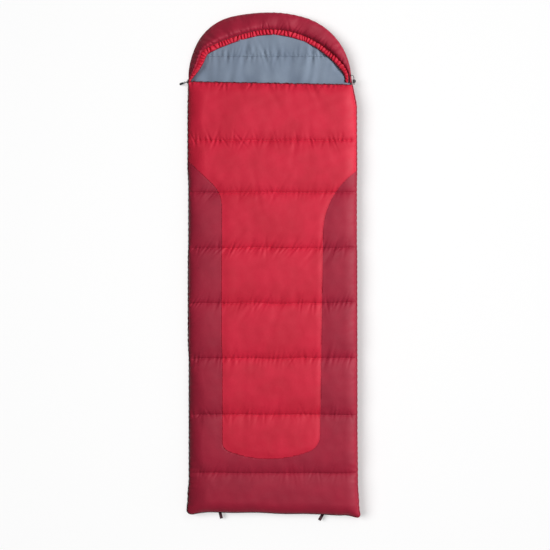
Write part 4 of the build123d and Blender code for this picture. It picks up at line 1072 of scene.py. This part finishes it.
# The section is a thin oblong with rounded edges, LOOP_W wide and LOOP_T thick.
w = np.array([[-1, -0.93, -0.5, 0, 0.5, 0.93, 1, 0.93, 0.5, 0, -0.5, -0.93]]) * LOOP_W / 2
off = np.array([[0, 1, 1, 1, 1, 1, 0, -1, -1, -1, -1, -1]]) * LOOP_T / 2
for side, x0, skew in (("left", LOOP_LEFT, 14.0), ("right", LOOP_RIGHT, -30.0)):
    turn = np.radians(skew)
    root_y = FOOT - 2.8 - 0.3 - 1.6 - LOOP_W / 2 * abs(np.sin(turn))
    centre = LOOP_BULGE + 0.7 - LOOP_LENGTH
    lean = np.arcsin((LOOP_BULGE - LAYER) / -centre)
    top = np.array([centre + LOOP_BULGE * np.sin(lean), LOOP_BULGE * np.cos(lean)])
    bend = arc(centre, 0, LOOP_BULGE, 90 - np.degrees(lean), 270 + np.degrees(lean), 0.5)
    run = np.concatenate([straight((TUCKED, LAYER), (0.0, LAYER), 1.0),
                          straight((0.0, LAYER), top, 0.8)[1:], bend[1:],
                          straight(top * (1, -1), (0.0, -LAYER), 0.8)[1:],
                          straight((0.0, -LAYER), (TUCKED, -LAYER), 1.0)[1:]])
    n = -directions(run)[1]
    local_y = run[:, :1] + n[:, :1] * off
    z = LOOP_Z + run[:, 1:] + n[:, 1:] * off
    points = np.stack([x0 + w * np.cos(turn) - local_y * np.sin(turn),
                       root_y + w * np.sin(turn) + local_y * np.cos(turn), z + 0 * w], -1)
    shift = lie(np.array([[x0, FOOT, 0.0]]))[0] - (x0, FOOT, 0.0)
    made = solid("webbing_loop_" + side, points + shift, webbing, None, ("hang_loop_" + side,),
                 uv=unrolled(run_of(run), w))
    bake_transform(made)

tab_parts = []
for x0 in (LOOP_LEFT, LOOP_RIGHT):
    # A crowned patch: a rounded oblong, domed by 0.3 mm, with its stitching sunk along the rim.
    u = np.linspace(-1, 1, 25)[:, None]
    v = np.linspace(-1, 1, 15)[None, :]
    dome = (1 - u**8) ** 0.5 * (1 - v**8) ** 0.5
    rim = np.exp(-((np.maximum(np.abs(u), np.abs(v)) - 0.78) / 0.06) ** 2)
    x = x0 + 9.0 * u * (1 - 0.03 * v**4)
    front = np.stack([x, FOOT - 1.6 - 1.2 * (0.35 + 0.65 * dome) + 0.25 * rim,
                      LOOP_Z + 5.0 * v * (1 - 0.03 * u**4)], -1)
    tab_parts.append(front)
points = np.concatenate([f.reshape(-1, 3) for f in tab_parts])
quads = np.concatenate([grid_faces(25, 15), grid_faces(25, 15) + 25 * 15])
piece("webbing_tabs", lie(points), quads[:, ::-1], webbing, "base_quilt", ("hang_loop_tabs",),
      thick=1.0, uv=points[:, [0, 2]])

# ---------------- stitching
# Lockstitch in dark red polyester thread along each quilting seam and round the panel.  Real
# stitches are 3 mm; these are 4 mm with a 5.5 mm pitch, so that they show.
thread_mat = cloth("polyester_thread", "8E0C26", "7A0A22", 0.5, roughness=0.45, crease=0.05)
PITCH, STITCH, STITCH_R = 5.5, 4.0, 0.45


def stitches(name, path):
    """A row of short threads, one at each point of a path and along it: four-sided darts.

    Each is four rings of four points, narrow at its ends and STITCH_R from its middle line.
    """
    t = np.gradient(path, axis=0)
    t /= np.linalg.norm(t, axis=1)[:, None]
    side = np.cross(t, (0, 0, 1))
    side /= np.linalg.norm(side, axis=1)[:, None]
    up = np.cross(side, t)
    rings = [path + t * STITCH * share + size * STITCH_R * (side * np.cos(a) + up * np.sin(a))
             for share, size in ((-0.5, 0.15), (-0.3, 1.0), (0.3, 1.0), (0.5, 0.15))
             for a in np.radians([45, 135, 225, 315])]
    points = np.stack(rings, 1)
    one = np.concatenate([grid_faces(4, 4, cols_close=True), [[0, 1, 2, 3], [15, 14, 13, 12]]])
    quads = (one[None] + 16 * np.arange(len(path))[:, None, None]).reshape(-1, 4)
    piece(name, lie(points.reshape(-1, 3)), quads, thread_mat, "top_quilt", closed=True)


rows = []
for s in SEAMS[1:-1]:
    at = np.arange(-352, 353, PITCH)
    ones = np.full(len(at), s)
    gap, _ = panel_distance(at, ones)
    rows.append(np.column_stack([at, ones, quilt_height(at, ones, gap) + 0.25]))
stitches("quilting_stitches", np.concatenate(rows))
line = spaced(panel_line, PITCH)
line = line[np.abs(line[:, 0]) < 350]
inward = np.gradient(line, axis=0)
inward = np.stack([-inward[:, 1], inward[:, 0]], -1) / np.hypot(*inward.T)[:, None]
line = line + 2.5 * inward
gap, _ = panel_distance(line[:, 0], line[:, 1])
stitches("panel_topstitches",
         np.column_stack([line, quilt_height(line[:, 0], line[:, 1], gap) + 0.2]))

# ---------------- floor, light and camera
# A white sweep, a large softbox high on the right, a weak one overhead, and a wide sun.
FLOOR, PAPER_GREY, PAPER_GLOW = 30.0, 0.6, 0.42
mesh = bpy.data.meshes.new("floor")
mesh.from_pydata([(-FLOOR, -FLOOR, 0), (FLOOR, -FLOOR, 0), (FLOOR, FLOOR, 0),
                  (-FLOOR, FLOOR, 0)], [], [(0, 1, 2, 3)])
floor_object = placed("floor", mesh)
# Lit paper, which also glows where it is seen, directly or in a gloss, to come out white.
paper = new_material("white_paper_sweep")
rays = node(paper, "LightPath").outputs
seen = combined(paper, "MAXIMUM", rays["Is Camera Ray"], rays["Is Glossy Ray"])
seen = combined(paper, "MAXIMUM", seen, rays["Is Transmission Ray"])
glow = combined(paper, "MULTIPLY", seen, PAPER_GLOW)
white = node(paper, "BsdfDiffuse", {"Color": (PAPER_GREY, PAPER_GREY, PAPER_GREY, 1.0)})
own = node(paper, "Emission", {"Color": (1, 1, 1, 1), "Strength": glow})
surface(paper, "AddShader", {0: white.outputs[0], 1: own.outputs[0]})
mesh.materials.append(paper)

world = bpy.data.worlds.new("studio")
bpy.context.scene.world = world
world.use_nodes = True
background = world.node_tree.nodes["Background"].inputs
background["Color"].default_value = (1, 1, 1, 1)
background["Strength"].default_value = 0.16


def turned(name, data, place, direction):
    """A lamp at a place, shining along a direction."""
    made = placed(name, data)
    made.location = place
    made.rotation_euler = Vector(direction).to_track_quat("-Z", "Y").to_euler()
    return made


def softbox(name, place, size, power):
    """An area light of a given size, turned towards the bag."""
    lamp = bpy.data.lights.new(name, "AREA")
    lamp.shape = "RECTANGLE"
    lamp.size, lamp.size_y = size
    lamp.energy = power
    return turned(name, lamp, place, np.array((0, -0.05, 0)) - np.array(place))


key = softbox("key", (4.6, 1.2, 4.8), (2.8, 2.8), 545)
softbox("overhead", (0.5, 0.4, 3.6), (1.6, 2.4), 22)
sun = bpy.data.lights.new("floor_light", "SUN")
sun.energy = 2.6
sun.angle = np.radians(38.0)
shade = turned("floor_light", sun, (0, 0, 0), (0.75, -0.12, -1.0))
# The key lights all but the floor and the sun only the floor, so that the shadow on the floor
# is soft and falls to the right.
for lamp, state in ((key, "EXCLUDE"), (shade, "INCLUDE")):
    group = bpy.data.collections.new(lamp.name + "_lights")
    group.objects.link(floor_object)
    group.collection_objects[0].light_linking.link_state = state
    lamp.light_linking.receiver_collection = group

MM_PER_PIXEL, PIXELS = 4.365, 550
CAMERA_HEIGHT, MID_HEIGHT = 7.0, 0.05
cam = bpy.data.cameras.new("camera")
cam.sensor_width = 36.0
cam.lens = 36.0 * (CAMERA_HEIGHT - MID_HEIGHT) / (MM_PER_PIXEL * PIXELS / 1000)
camera = placed("camera", cam)
camera.location = (0.0109, -0.0513, CAMERA_HEIGHT)
bpy.context.scene.camera = camera
bpy.context.scene.view_settings.view_transform = "Standard"
